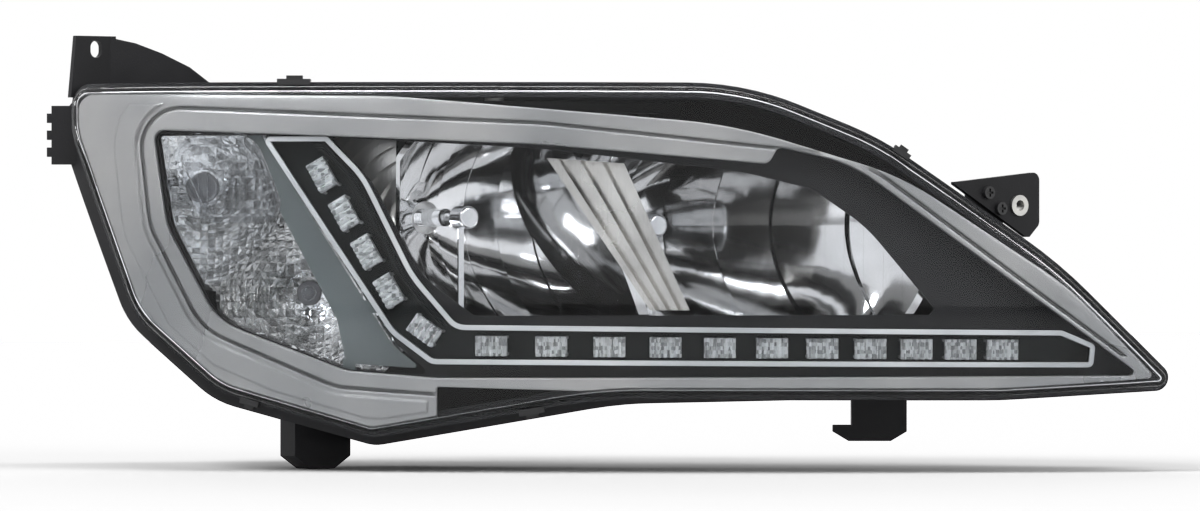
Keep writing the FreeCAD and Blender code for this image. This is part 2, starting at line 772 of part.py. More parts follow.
def housing():
    """Black tub with seal channel, access necks, drive and inlet ports, ribs and fixing bosses."""
    behind = BACK.extrude(Vector(0, -FAR, 0))
    rim = plate("lens", RIM, RIM_BACK, RIM_OUT)
    tub = prism("tub").common(layer(size("shoulder_depth"), FAR)).common(behind)
    back = max(
        (face for face in tub.Faces if "BSpline" in face.Surface.TypeId),
        key=lambda face: face.CenterOfMass.y,
    )
    tub = tub.makeFillet(size("back_round"), back.Edges)
    wall = size("housing_wall")
    shoulder = size("shoulder_depth") + wall
    hollow = prism("tub", -wall).common(layer(shoulder, FAR))
    hollow = hollow.common(BACK.translated(Vector(0, -wall, 0)).extrude(Vector(0, -FAR, 0)))
    mouth = plate("lens", RIM - 5, RIM_BACK + 1, RIM_IN)
    groove = plate("lens", RIM - 5, FLOOR, GROOVE_OUT).cut(prism("lens", GROOVE_IN))
    outside_back = BACK.translated(Vector(0, -wall, 0)).extrude(Vector(0, FAR, 0))
    pipes, bores = [], []
    for centre, end_y in NECKS.values():
        pipe, bore = neck(centre.x, centre.z, CAP_IN, CAP_WALL, end_y, 110)
        pipes.append(pipe.common(outside_back))
        bores.append(bore)
        bores += [to_lens(slot) for slot in bayonet_slots(centre, end_y)]
    pipe, bore = neck(MOTOR.x, MOTOR.z, size("motor_radius") - 3, 6.0, MOTOR_FACE, 60)
    pipes.append(pipe.common(outside_back))
    bores.append(bore)
    bearing = size("adjuster_radius") + size("running_gap")
    pipe, bore = neck(ADJUSTER.x, ADJUSTER.z, bearing, 5.0, ADJUSTER_FACE, 24)
    pipes.append(pipe.common(outside_back))
    bores.append(bore)
    half_x, half_z = size("inlet_width") / 2, size("inlet_height") / 2
    port = box((INLET.x - half_x - 3, INLET.x + half_x + 3), (INLET.y - 90, INLET.y),
               (INLET.z - half_z - 3, INLET.z + half_z + 3))
    pipes.append(to_lens(port).common(outside_back))
    bores.append(to_lens(box((INLET.x - half_x, INLET.x + half_x), (INLET.y - 91, INLET.y + 1),
                             (INLET.z - half_z, INLET.z + half_z))))
    turn_in = size("turn_neck_in")
    turn_end = Vector(TURN.x, TURN.y, TURN.z)
    turn_start = turn_end - Vector(0, 60, 0)
    pipes.append(rod(turn_in + size("turn_neck_wall"), turn_start, turn_end).common(outside_back))
    bores.append(rod(turn_in, turn_start, turn_end + Vector(0, 1, 0)))
    shell = fused([rim, tub] + fixings()).cut(Part.makeCompound([hollow, mouth, groove]))
    shell = fused([shell] + pipes + back_ribs())
    return shell.cut(Part.makeCompound(bores + fixing_holes()))


def lens_seal():
    """Bead of sealant that fills the channel's floor under the foot of the lens."""
    return plate("lens", FOOT, FLOOR, GROOVE_OUT).cut(prism("lens", GROOVE_IN))


CLIP_POINTS = [
    ("outer_top", "brow", 0.34, 10.5),
    ("brow_turn", "tip_rise", 0.12, 6.0),
    ("skirt_left", "chin", 0.3, 8.0),
    ("chin", "cheek", 0.8, 6.0),
]


def lens_clips():
    """Four spring hooks that hold the flange of the lens down on the rim."""
    hooks = []
    thick = 1.4
    for first, second, share, half in CLIP_POINTS:
        start = corner_at("lens", first)
        end = corner_at("lens", second)
        along = (end - start).normalize()
        outward = Vector(-along.z, 0, along.x)
        point = start + (end - start) * share
        depth = lens_front(point.x, point.z)
        ends = [point + along * reach for reach in (-half, half)]
        front = min(lens_front(end.x, end.z) for end in ends)
        near = front + size("flange_depth") - thick - 0.6
        far = depth + size("shoulder_depth") - 1.5
        out = RIM_OUT + 0.5
        arm = Part.makeBox(2 * half, far - near, thick, Vector(-half, near, out))
        nose = Part.makeBox(2 * half, thick, out + thick + 1.6, Vector(-half, near, -1.6))
        grip = Part.makeBox(half, 4.0, 2.5, Vector(-half / 2, far - 4.0, out + thick))
        hook = fused([arm, nose, grip])
        turn = Placement(point, Rotation(along, Vector(0, 1, 0), outward, "XYZ"))
        hook.Placement = turn.multiply(hook.Placement)
        hooks.append(hook)
    return Part.makeCompound(hooks)


# ---------------------------------------------------------------------------------------------
# Surround and dark panel
# ---------------------------------------------------------------------------------------------

PANEL = size("panel_depth")
PANEL_BACK = PANEL + size("panel_wall")
SEAT = size("seat_gap")


def bezel():
    """Silver surround: dished ring that follows the lens, with a groove, a flow ridge and a lip."""
    depth, wall = size("bezel_depth"), size("bezel_wall")
    room = prism("lens", -FLANGE - WALL - size("bezel_lens_gap"))
    inner_room = prism("lens", -FLANGE - WALL - size("bezel_lens_gap") - wall)
    skirt_end = depth + size("bezel_skirt")
    cover = plate("bezel", depth, skirt_end).common(room)
    under = plate("bezel", depth + wall, skirt_end + 5, -wall).common(inner_room)
    lip = plate("window", depth, PANEL - SEAT, size("collar_width")).common(prism("lens", RIM_IN - SEAT))
    ridge_in = size("ridge_offset")
    ridge_out = ridge_in + size("ridge_width")
    ridge = plate("groove", depth - size("ridge_height"), depth + 0.5, ridge_out)
    ridge = ridge.cut(prism("groove", ridge_in)).common(prism("bezel", -6)).common(room)
    strip = corner_at("bezel", "chin_right")
    below = box((strip.x, FAR), (-FAR, FAR), (-FAR, strip.z + 40))
    ridge = max(ridge.cut(below).Solids, key=lambda solid: solid.Volume)
    groove = plate("groove", depth - 3, depth + size("groove_deep"), size("groove_width"))
    groove = groove.cut(prism("groove")).cut(below)
    shell = fused([cover.cut(under), lip, ridge])
    return shell.cut(Part.makeCompound([prism("window"), groove]))


def panel():
    """Dark inner panel with collared openings for the reflectors, the blade and the turn chamber."""
    sheet_part = plate("window", PANEL, PANEL_BACK, size("collar_width")).common(prism("lens", RIM_IN - SEAT))
    collars = []
    for opening in ("main", "turn"):
        collars.append(plate(opening, PANEL, PANEL_BACK + size("collar_deep"), size("collar_width")))
    openings = [prism("main"), prism("turn"), prism("drl", SEAT)]
    return fused([sheet_part] + collars).cut(Part.makeCompound(openings))


# ---------------------------------------------------------------------------------------------
# Daytime light
# ---------------------------------------------------------------------------------------------

TRAY = size("tray_depth")
TRAY_BACK = TRAY + size("tray_deep")
TRAY_FLOOR = TRAY_BACK - size("tray_wall")
BOARD = TRAY_FLOOR - size("board_thickness")


def drl_tray():
    """Channel that carries the board and the optics of the daytime light."""
    wall = size("tray_wall")
    inside = plate("drl", TRAY - 1, TRAY_FLOOR, -wall)
    beside = prism("drl").cut(prism("drl").translated(Vector(-13, 0, 0)))
    beside = beside.common(box((-FAR * 2, corner_at("drl", "corner_in").x), (-FAR, FAR), (-FAR, FAR)))
    ribs = []
    for inset in (wall + 1.4, wall + 3.0, wall + 4.6):
        rib = plate("drl", TRAY + 1.5, TRAY_FLOOR + 0.4, -inset).cut(prism("drl", -inset - 0.7))
        ribs.append(rib.common(beside))
    shell = plate("drl", TRAY, TRAY_BACK).cut(inside)
    whole = fused([shell] + ribs)
    return max(whole.Solids, key=lambda solid: solid.Volume)


def drl_rim():
    """Bright rim round the blade."""
    near = TRAY - size("rim_height")
    inside = prism("drl", -size("tray_wall"))
    return plate("drl", near, TRAY, size("rim_width") - size("tray_wall")).cut(inside)


def drl_board():
    """Curved circuit strip on the floor of the tray."""
    strip = plate("drl", BOARD, TRAY_FLOOR, -size("board_inset"))
    beside = prism("drl").cut(prism("drl").translated(Vector(-13, 0, 0)))
    beside = beside.common(box((-FAR * 2, corner_at("drl", "corner_in").x), (-FAR, FAR), (-FAR, FAR)))
    strip = strip.cut(beside)
    return max(strip.Solids, key=lambda solid: solid.Volume)


def optic_seats():
    """Where the light modules stand: along the blade, round its corner and along its foot."""
    seats = []
    lean = math.degrees(math.atan2(-size("blade_step_x"), -size("blade_step_z")))
    for step in range(int(size("blade_count"))):
        x = size("blade_first_x") + step * size("blade_step_x")
        z = size("blade_first_z") + step * size("blade_step_z")
        seats.append((x, z, lean + 90))
    seats.append((size("corner_optic_x"), size("corner_optic_z"), 35.0))
    x = size("optic_first_x")
    for step in range(int(size("optic_count"))):
        fall = (x - size("optic_first_x")) * size("optic_fall")
        seats.append((x, size("optic_first_z") - fall, 0.0))
        x += size("optic_pitch") - step * size("optic_pitch_step")
    return seats


def set_on_front(shape, x, z, depth, roll=0.0):
    """A shape drawn round the origin, set square to the lens front at a depth behind it."""
    step = 4.0
    slope_x = (lens_front(x + step, z) - lens_front(x - step, z)) / (2 * step)
    slope_z = (lens_front(x, z + step) - lens_front(x, z - step)) / (2 * step)
    across = Vector(1, slope_x, 0).normalize()
    inward = Vector(-slope_x, 1, -slope_z).normalize()
    upward = across.cross(inward).normalize()
    turn = Rotation(across, inward, upward, "XYZ").multiply(Rotation(Vector(0, 1, 0), roll))
    copy = shape.copy()
    copy.Placement = Placement(Vector(x, lens_front(x, z) + depth, z), turn)
    return copy


def optic_block():
    """One moulded optic: a block whose front is a row of upright prisms, on four short feet."""
    width, high = size("optic_width"), size("optic_height")
    ribs = int(size("optic_ribs"))
    points = [Vector(-width / 2, size("optic_base"), -high / 2)]
    for rib in range(ribs):
        left = -width / 2 + rib * width / ribs
        points.append(Vector(left, 0, -high / 2))
        points.append(Vector(left + width / ribs / 2, -size("optic_rib"), -high / 2))
    points.append(Vector(width / 2, 0, -high / 2))
    points.append(Vector(width / 2, size("optic_base"), -high / 2))
    points.append(points[0])
    block = Part.Face(Part.makePolygon(points)).extrude(Vector(0, 0, high))
    reach = BOARD - size("optic_depth") - size("optic_base") - SEAT - 0.35
    feet = []
    for side in (-1, 1):
        for level in (-1, 1):
            x, z = side * (width / 2 - 1.0), level * (high / 2 - 1.0)
            deep = (size("optic_base"), size("optic_base") + reach)
            feet.append(box((x - 0.8, x + 0.8), deep, (z - 0.8, z + 0.8)))
    return fused([block] + feet)


def drl_optics():
    """The sixteen prismatic optics."""
    block = optic_block()
    depth = size("optic_depth")
    return Part.makeCompound([set_on_front(block, x, z, depth, roll) for x, z, roll in optic_seats()])


def drl_leds():
    """One emitter behind each optic, on the board."""
    side, high = size("led_side"), size("led_height")
    chip = box((-side / 2, side / 2), (-high, 0), (-side / 2, side / 2))
    return Part.makeCompound([set_on_front(chip, x, z, BOARD - 0.02, roll) for x, z, roll in optic_seats()])


def drl_heat_sink():
    """Aluminium spine with upright fins behind the foot of the tray."""
    back = TRAY_BACK + 0.1
    left = size("optic_first_x") + 10
    count = int(size("sink_fins"))
    right = left + count * size("sink_pitch")
    zone = box((left, right), (-FAR, FAR), (size("optic_first_z") - 6.5, size("optic_first_z") + 6.5))
    spine = layer(back, back + 2.0).common(zone)
    fins = []
    for fin in range(count):
        x = left + (fin + 0.5) * size("sink_pitch")
        depth = lens_front(x, size("optic_first_z")) + back
        fins.append(box((x - size("sink_fin") / 2, x + size("sink_fin") / 2),
                        (depth + 1.0, depth + size("sink_height")),
                        (size("optic_first_z") - 6.5, size("optic_first_z") + 6.5)))
    return fused([spine] + fins)


# ---------------------------------------------------------------------------------------------
# Turn-signal chamber
# ---------------------------------------------------------------------------------------------

TURN_FRONT = PANEL_BACK + size("collar_deep") + SEAT


def dish(focal, vertex, reach, backwards):
    """The inside of a paraboloid that opens forwards, as deep as reach."""
    rim = math.sqrt(4 * focal * reach)
    knots = [Vector(rim * step / 6, -(rim * step / 6) ** 2 / (4 * focal), 0) for step in range(7)]
    curve = Part.BSplineCurve()
    curve.interpolate(knots, InitialTangent=Vector(1, 0, 0), FinalTangent=Vector(2 * focal, -rim, 0))
    foot, lip = Vector(0, -reach, 0), knots[-1]
    wire = Part.Wire([curve.toShape(), Part.LineSegment(lip, foot).toShape(),
                      Part.LineSegment(foot, Vector(0, 0, 0)).toShape()])
    solid = Part.Face(wire).revolve(Vector(0, 0, 0), Vector(0, 1, 0), 360)
    return solid.translated(vertex + Vector(0, backwards, 0))


def turn_reflector():
    """Bright chamber with a deep dish for the turn bulb and a shallow one for the side light."""
    wall = size("bowl_wall")
    cup_y, side_cup_y = size("turn_cup_y"), size("turn_cup_y") - 8.0
    turn_seat = Vector(size("turn_x"), cup_y, size("turn_z"))
    side_seat = Vector(size("side_x"), side_cup_y, size("side_z"))
    block = prism("turn", -0.2).common(layer(TURN_FRONT, FAR))
    block = block.common(box((-FAR * 2, FAR), (-FAR, cup_y + 3), (-FAR, FAR)))
    outsides = [
        dish(size("turn_focal") + wall / 2, turn_seat, 90, wall),
        dish(size("side_focal") + wall / 2, side_seat, 90, wall),
    ]
    insides = [dish(size("turn_focal"), turn_seat, 90, 0), dish(size("side_focal"), side_seat, 90, 0)]
    room = prism("turn", -0.2 - 1.6)
    cavity = insides[0].fuse(insides[1]).common(room)
    shell = block.common(outsides[0].fuse(outsides[1])).cut(cavity)
    shell = max(shell.Solids, key=lambda solid: solid.Volume)
    sockets, holes = [], []
    for seat, radius in ((turn_seat, size("turn_neck_in") - 4), (side_seat, size("side_holder_radius"))):
        back = Vector(seat.x, seat.y + 5.0, seat.z)
        sockets.append(rod(radius + 2.5, Vector(seat.x, seat.y - 6, seat.z), back))
        holes.append(rod(radius, Vector(seat.x, seat.y - 20, seat.z), back + Vector(0, 1, 0)))
    sockets = [socket.cut(cavity) for socket in sockets]
    return fused([shell] + sockets).cut(Part.makeCompound(holes))


def turn_inner_lens():
    """Raised rounded frame of prisms in front of the turn bulb."""
    near = PANEL - 4
    frame = plate("turn_frame", near, TURN_FRONT, 5.5).cut(prism("turn_frame"))
    frame = frame.cut(plate("turn_frame", near - 1, near + 1.4, 3.6).cut(prism("turn_frame", 2.2)))
    pane = plate("turn_frame", near + 4, near + 6, 0.5)
    grooves = []
    corners = [corner_at("turn_frame", corner) for corner in CORNERS["turn_frame"]]
    left, right = corners[0].x, corners[2].x
    x = left + 4
    while x < right:
        grooves.append(box((x - 0.6, x + 0.6), (-FAR, FAR), (-FAR, FAR)))
        x += 6.0
    lip = layer(near + 3.6, near + 5).common(Part.makeCompound(grooves)).common(prism("turn_frame", -1))
    top = corners[0].z
    seat = layer(TURN_FRONT - 2.6, TURN_FRONT - 0.05).common(prism("turn", -0.2))
    tongues = []
    for x in (left + 14, left + 40):
        tongues.append(seat.common(box((x - 3, x + 3), (-FAR, FAR), (top + 2, FAR))))
    tongues.append(seat.common(box((-FAR * 2, left - 2), (-FAR, FAR), (top - 28, top - 22))))
    return fused([frame, pane] + tongues).cut(lip)


def tinted_panel():
    """Smooth smoked blade between the turn chamber and the daytime light."""
    blade = plate("tint", PANEL - 3, PANEL - 0.6).cut(prism("turn_frame", 6.2))
    inner, chin = corner_at("tint", "inner_low"), corner_at("tint", "chin")
    edge = layer(PANEL - 3, TURN_FRONT - 0.05).common(prism("turn", -0.2)).cut(prism("turn", -6.0))
    feet = [edge.common(box((inner.x - 60, FAR), (-FAR, FAR), (inner.z + 20, inner.z + 28)))]
    feet.append(edge.common(box((chin.x - 50, chin.x - 42), (-FAR, FAR), (-FAR, chin.z + 10))))
    whole = fused([blade] + feet)
    return max(whole.Solids, key=lambda solid: solid.Volume)


# ---------------------------------------------------------------------------------------------
# Reflectors
# ---------------------------------------------------------------------------------------------

BOWL_WALL = size("bowl_wall")
BOWL_FRONT = size("bowl_front")
BEHIND_FRONT = to_vehicle(layer(BOWL_FRONT, FAR))
CELL = to_vehicle(prism("cell"))
CELL_OUTSIDE = to_vehicle(prism("cell", BOWL_WALL))
NECK_BACK = size("bulb_neck_length")


def split_zone(side, shift):
    """Everything on one side of the leaning plane between the two bowls."""
    top, lean = size("split_top_x") + shift, size("split_lean")
    high, low = 50.0, -74.0
    slope = lean / (high - low)
    upper = Vector(top - slope * 150, -FAR, high + 150)
    lower = Vector(top + lean + slope * 150, -FAR, low - 150)
    far_x = side * 2 * FAR
    corners = [upper, Vector(far_x, -FAR, upper.z), Vector(far_x, -FAR, lower.z), lower, upper]
    return Part.Face(Part.makePolygon(corners)).extrude(Vector(0, 2 * FAR, 0))


def bowl(vertex, side, lugs):
    """A reflector: a stepped paraboloid of upright facets, closed above and below by flat walls."""
    focal, step = size("focal"), size("facet_focal_step")
    room = CELL.common(split_zone(side, side * BOWL_WALL))
    low_x, high_x = room.BoundBox.XMin, room.BoundBox.XMax
    low_x = max(low_x, vertex.x - 75)
    high_x = min(high_x, vertex.x + 150)
    count = int(size("facet_count"))
    strips = []
    for index in range(count):
        left = low_x - 30 if index == 0 else low_x + (high_x - low_x) * index / count
        right = high_x + 30 if index == count - 1 else low_x + (high_x - low_x) * (index + 1) / count
        facet = dish(focal + step * (index % 2), vertex, 190, 0)
        strips.append(facet.common(box((left, right), (-FAR, FAR), (-FAR, FAR))))
    hollow = strips[0].multiFuse(strips[1:]).common(room)
    outside = dish(focal + BOWL_WALL, vertex, 190, BOWL_WALL)
    outside = outside.common(CELL_OUTSIDE).common(split_zone(side, 0)).common(BEHIND_FRONT)
    neck_start = Vector(vertex.x, vertex.y - 4, vertex.z)
    neck_end = Vector(vertex.x, vertex.y + NECK_BACK, vertex.z)
    shell = fused([outside, rod(size("bulb_neck"), neck_start, neck_end)] + lugs + clip_lugs(vertex))
    shell = shell.cut(hollow)
    hole = rod(size("bulb_hole"), neck_start - Vector(0, 9, 0), neck_end + Vector(0, 1, 0))
    shell = shell.cut(hole)
    return max(shell.Solids, key=lambda solid: solid.Volume)


CLIP_Y = NECK_BACK + size("base_flange_thickness") + size("wire_radius") + 0.05


def clip_lugs(vertex):
    """Hinge block and two catches for the wire clip, on the bulb neck."""
    rise, wire = size("clip_hinge_rise"), size("wire_radius")
    y = vertex.y + CLIP_Y
    bearing = rod(
        wire + size("running_gap"),
        Vector(vertex.x - 9, y, vertex.z + rise),
        Vector(vertex.x + 9, y, vertex.z + rise),
    )
    block = box((vertex.x - 5, vertex.x + 5), (vertex.y + 4, y + 2.6),
                (vertex.z + size("bulb_neck") - 1.5, vertex.z + rise + 2.6)).cut(bearing)
    catches = []
    for side in (-1, 1):
        x = vertex.x + side * size("clip_half_width")
        catches.append(box((x - 1.8, x + 1.8), (vertex.y + 4, vertex.y + CLIP_Y - wire - 0.1),
                           (vertex.z - rise, vertex.z - 12)))
    return [block] + catches


def ear(x, thick, low_z):
    """A hinge ear on the pitch axis, reaching down to low_z."""
    radius, y, z = size("ear_radius"), size("aim_y"), size("aim_z")
    head = rod(radius, Vector(x - thick / 2, y, z), Vector(x + thick / 2, y, z))
    leg = box((x - thick / 2, x + thick / 2), (y - radius, y + radius), (low_z, z))
    return head.fuse(leg)


def pin_hole(x, half):
    """The bearing for a pitch pin."""
    y, z = size("aim_y"), size("aim_z")
    return rod(size("pin_radius") + size("running_gap"), Vector(x - half, y, z), Vector(x + half, y, z))


def ball_socket(centre):
    """The cavity of a snap socket that opens backwards."""
    radius = size("ball_radius") + size("ball_gap")
    return Part.makeSphere(radius, centre).fuse(rod(radius * 0.86, centre, centre + Vector(0, 30, 0)))


def low_reflector():
    """Low-beam bowl with its pitch ear and the ball socket of the levelling rod."""
    x, thick = size("low_ear_x"), size("ear_thickness")
    floor = corner_at("cell", "outer_low").z
    lug = box((MOTOR.x - 6.5, MOTOR.x + 6.5), (MOTOR.y - 14, MOTOR.y + 3.2), (MOTOR.z - 6.5, floor + 1))
    shell = bowl(LOW, -1, [ear(x, thick, 44.0), lug])
    return shell.cut(Part.makeCompound([pin_hole(x, thick), ball_socket(MOTOR)]))


def high_reflector():
    """High-beam bowl, with an arm that carries its ear back to the pitch axis."""
    x, thick = size("high_ear_x"), size("ear_thickness")
    y, z, radius = size("aim_y"), size("aim_z"), size("ear_radius")
    front = HIGH.y - 62
    profile = Part.makePolygon([
        Vector(x - thick / 2, front, z - 30), Vector(x - thick / 2, front, z - 20),
        Vector(x - thick / 2, y - radius, z + 1), Vector(x - thick / 2, y + radius, z),
        Vector(x - thick / 2, y + radius, z - 8), Vector(x - thick / 2, front + 34, z - 30),
        Vector(x - thick / 2, front, z - 30),
    ])
    arm = Part.Face(profile).extrude(Vector(thick, 0, 0))
    shell = bowl(HIGH, 1, [ear(x, thick, z - 6), arm])
    return shell.cut(pin_hole(x, thick))


def fluted_panel():
    """Bright filler beside the low bowl: nested ring flutes, alternately high and low."""
    centre = lens_point(LOW.x, LOW.y, LOW.z)
    first, width = size("flute_first"), size("flute_width")
    zone = prism("flutes")
    rings = []
    for index in range(int(size("flute_count"))):
        inside, outside = first + index * width, first + (index + 1) * width
        front = BOWL_FRONT + (size("flute_height") if index % 2 else 0.0)
        start, end = Vector(centre.x, -FAR, centre.z), Vector(centre.x, FAR, centre.z)
        ring = tube(outside, inside, start, end).common(zone)
        rings.append(ring.common(layer(front, BOWL_FRONT + size("flute_height") + 2.0)))
    return fused(rings)


def divider():
    """Bright fan of flutes over the joint between the two bowls."""
    corners = [corner_at("divider", corner) for corner in CORNERS["divider"]]
    outer_top, inner_top, inner_low, outer_low = corners
    depth, count = size("divider_depth"), 7
    strips = []
    for index in range(count):
        shares = (index / count, (index + 1) / count)
        tops = [outer_top + (inner_top - outer_top) * share for share in shares]
        lows = [outer_low + (inner_low - outer_low) * share for share in shares]
        wire = Part.makePolygon([tops[0], tops[1], lows[1], lows[0], tops[0]])
        column = Part.Face(wire).extrude(Vector(0, 2 * FAR, 0)).translated(Vector(0, -FAR, 0))
        strips.append(column.common(layer(depth + 1.8 * (index % 2), BOWL_FRONT - SEAT)))
    return fused(strips)


def glare_shield(vertex, reflector):
    """Cup in front of a bulb, on a strut with a foot on the floor of the bowl."""
    radius, wall, strut = size("shield_radius"), size("shield_wall"), size("shield_strut")
    front = vertex.y - size("shield_reach")
    back = front + size("shield_length")
    tip = Vector(vertex.x, front, vertex.z)
    cup = rod(radius, tip, Vector(vertex.x, back, vertex.z))
    rims = [edge for edge in cup.Edges if edge.CenterOfMass.y < front + 0.1]
    cup = cup.makeFillet(1.6, rims)
    cup = cup.cut(rod(radius - wall, tip + Vector(0, wall, 0), Vector(vertex.x, back + 1, vertex.z)))
    floor = corner_at("cell", "outer_low").z - 4
    across = (vertex.x - strut / 2, vertex.x + strut / 2)
    leg = box(across, (back - 3.0, back - 1.6), (floor, vertex.z - radius + wall))
    foot = box((vertex.x - 4.5, vertex.x + 4.5), (back - 9.0, back - 1.6), (floor, floor + 7.0))
    shield = fused([cup, leg, foot]).cut(reflector)
    return max(shield.Solids, key=lambda solid: solid.Volume)


# ---------------------------------------------------------------------------------------------
# Aiming: beam, pivots, levelling drive and side adjuster
# ---------------------------------------------------------------------------------------------

BEAM_LOW = size("aim_z") + size("beam_rise")
BEAM_TOP = BEAM_LOW + size("beam_height")


def aim_beam():
    """Bar that yaws on the pivot stud and carries both reflectors on clevis lugs."""
    y, z, half = size("aim_y"), size("aim_z"), size("beam_width") / 2
    bar = box((size("beam_left_x"), size("beam_right_x")), (y - half, y + half), (BEAM_LOW, BEAM_TOP))
    gap = size("ear_thickness") / 2 + SEAT
    pieces, holes = [bar], []
    for x in (size("low_ear_x"), size("high_ear_x")):
        for side in (-1, 1):
            middle = x + side * (gap + 1.5)
            pieces.append(box((middle - 1.5, middle + 1.5), (y - 4, y + 4), (z - 3.2, BEAM_LOW + 1)))
        holes.append(rod(size("pin_radius"), Vector(x - gap - 3, y, z), Vector(x + gap + 3, y, z)))
    lug_half = size("ball_radius") + 2.2
    pieces.append(box((ADJUSTER.x - lug_half, ADJUSTER.x + lug_half), (y - half, y + 3.2),
                      (ADJUSTER.z - lug_half, BEAM_LOW + 1)))
    holes.append(ball_socket(ADJUSTER))
    stud = size("stud_radius") + size("running_gap")
    holes.append(rod(stud, Vector(MOTOR.x, y, BEAM_LOW - 1), Vector(MOTOR.x, y, BEAM_TOP + 1)))
    return fused(pieces).cut(Part.makeCompound(holes))


def aim_pins():
    """The two pitch pins."""
    y, z, half = size("aim_y"), size("aim_z"), size("ear_thickness") / 2 + SEAT + 3
    pins = []
    for x in (size("low_ear_x"), size("high_ear_x")):
        pins.append(rod(size("pin_radius"), Vector(x - half, y, z), Vector(x + half, y, z)))
    return Part.makeCompound(pins)


def roof_at(x, y):
    """Height of the inside of the housing's roof over a point of the vehicle frame."""
    seen = lens_point(x, y, 0)
    probe = rod(0.05, Vector(seen.x, seen.y, 0), Vector(seen.x, seen.y, FAR))
    return probe.common(prism("tub", -size("housing_wall"))).BoundBox.ZMax


ROOF = roof_at(MOTOR.x, size("aim_y"))


def pivot_stud():
    """Collared steel stud that hangs from the roof. The beam turns on it."""
    foot = Vector(MOTOR.x, size("aim_y"), BEAM_LOW - 0.5)
    collar = Vector(MOTOR.x, size("aim_y"), BEAM_TOP + SEAT)
    top = Vector(MOTOR.x, size("aim_y"), ROOF - SEAT)
    return fused([rod(size("stud_radius"), foot, top), rod(size("stud_radius") + 3, collar, top)])


def levelling_rod():
    """Push rod with a ball that snaps into the low reflector."""
    end = Vector(MOTOR.x, MOTOR_FACE - size("nose_length") + 12, MOTOR.z)
    ball = Part.makeSphere(size("ball_radius"), MOTOR)
    return fused([ball, rod(size("rod_radius"), MOTOR, end)])


def levelling_motor():
    """Levelling drive: nose with the rod's bearing, round body and a plug socket block below."""
    face = MOTOR_FACE
    nose_start = Vector(MOTOR.x, face - size("nose_length"), MOTOR.z)
    seat = Vector(MOTOR.x, face + SEAT, MOTOR.z)
    back = seat + Vector(0, size("motor_length"), 0)
    nose = rod(size("nose_radius"), nose_start, back)
    body = rod(size("motor_radius"), seat, back)
    edges = [edge for edge in body.Edges if edge.CenterOfMass.y > back.y - 0.1]
    body = body.makeFillet(2.5, edges)
    socket = box((MOTOR.x - 11, MOTOR.x + 11), (seat.y + 4, seat.y + 20), (MOTOR.z - 27, MOTOR.z - 12))
    socket_hole = box((MOTOR.x - 9, MOTOR.x + 9), (seat.y + 6, seat.y + 18), (MOTOR.z - 28, MOTOR.z - 19))
    bore = size("rod_radius") + size("running_gap")
    bearing = rod(bore, nose_start - Vector(0, 1, 0), nose_start + Vector(0, 24, 0))
    shaft_hole = rod(2.5 + size("running_gap"), back - Vector(0, 8, 0), back + Vector(0, 1, 0))
    return fused([nose, body, socket]).cut(Part.makeCompound([bearing, socket_hole, shaft_hole]))


def toothed_knob(centre, shaft_radius, shaft_start):
    """Adjusting wheel with upright teeth on a shaft along the beams."""
    radius, length = size("knob_radius"), size("knob_length")
    wheel = rod(radius - 1.2, centre, centre + Vector(0, length, 0))
    pieces = [wheel, rod(shaft_radius, shaft_start, centre + Vector(0, 1, 0))]
    for tooth in range(12):
        bar = box((-1.0, 1.0), (0, length - 2), (radius - 2.2, radius))
        bar.rotate(Vector(0, 0, 0), Vector(0, 1, 0), tooth * 30)
        pieces.append(bar.translated(centre))
    hexagon = []
    for corner in range(7):
        angle = math.radians(60 * corner)
        hexagon.append(Vector(3 * math.cos(angle), 0, 3 * math.sin(angle)))
    drive = Part.Face(Part.makePolygon(hexagon)).extrude(Vector(0, 5, 0))
    return fused(pieces).cut(drive.translated(centre + Vector(0, length - 4, 0)))


def vertical_adjuster():
    """Hand wheel at the back of the levelling drive."""
    back = Vector(MOTOR.x, MOTOR_FACE + SEAT + size("motor_length"), MOTOR.z)
    return toothed_knob(back + Vector(0, SEAT, 0), 2.5, back - Vector(0, 7, 0))


def side_adjuster():
    """Hand wheel and screw that move the outer end of the beam."""
    start = Vector(ADJUSTER.x, size("aim_y") + 15, ADJUSTER.z)
    return toothed_knob(Vector(ADJUSTER.x, ADJUSTER_FACE + SEAT, ADJUSTER.z), size("adjuster_radius"), start)


def adjuster_nut():
    """Travelling nut whose ball sits in the end of the beam."""
    y = size("aim_y")
    start, end = ADJUSTER + Vector(0, 9, 0), ADJUSTER + Vector(0, 20, 0)
    shape = fused([
        Part.makeSphere(size("ball_radius"), ADJUSTER),
        rod(size("ball_radius") * 0.6, ADJUSTER, start),
        rod(size("nut_radius"), start, end),
    ])
    bore = rod(size("adjuster_radius") + size("running_gap"), Vector(ADJUSTER.x, y + 10.5, ADJUSTER.z),
               end + Vector(0, 1, 0))
    return shape.cut(bore)


def clip_wire(vertex):
    """Spring wire over the bulb's flange: a hinge bar and two legs with bent-in ends."""
    radius, half, rise = size("wire_radius"), size("clip_half_width"), size("clip_hinge_rise")
    y = vertex.y + CLIP_Y
    path = [
        Vector(vertex.x - half + 3, y, vertex.z - 17), Vector(vertex.x - half, y, vertex.z - 14),
        Vector(vertex.x - half, y, vertex.z + rise), Vector(vertex.x + half, y, vertex.z + rise),
        Vector(vertex.x + half, y, vertex.z - 14), Vector(vertex.x + half - 3, y, vertex.z - 17),
    ]
    pieces = [Part.makeSphere(radius, point) for point in path]
    for start, end in zip(path, path[1:]):
        pieces.append(rod(radius, start, end))
    return fused(pieces)


# ---------------------------------------------------------------------------------------------
# Bodies drawn from sketches
# ---------------------------------------------------------------------------------------------

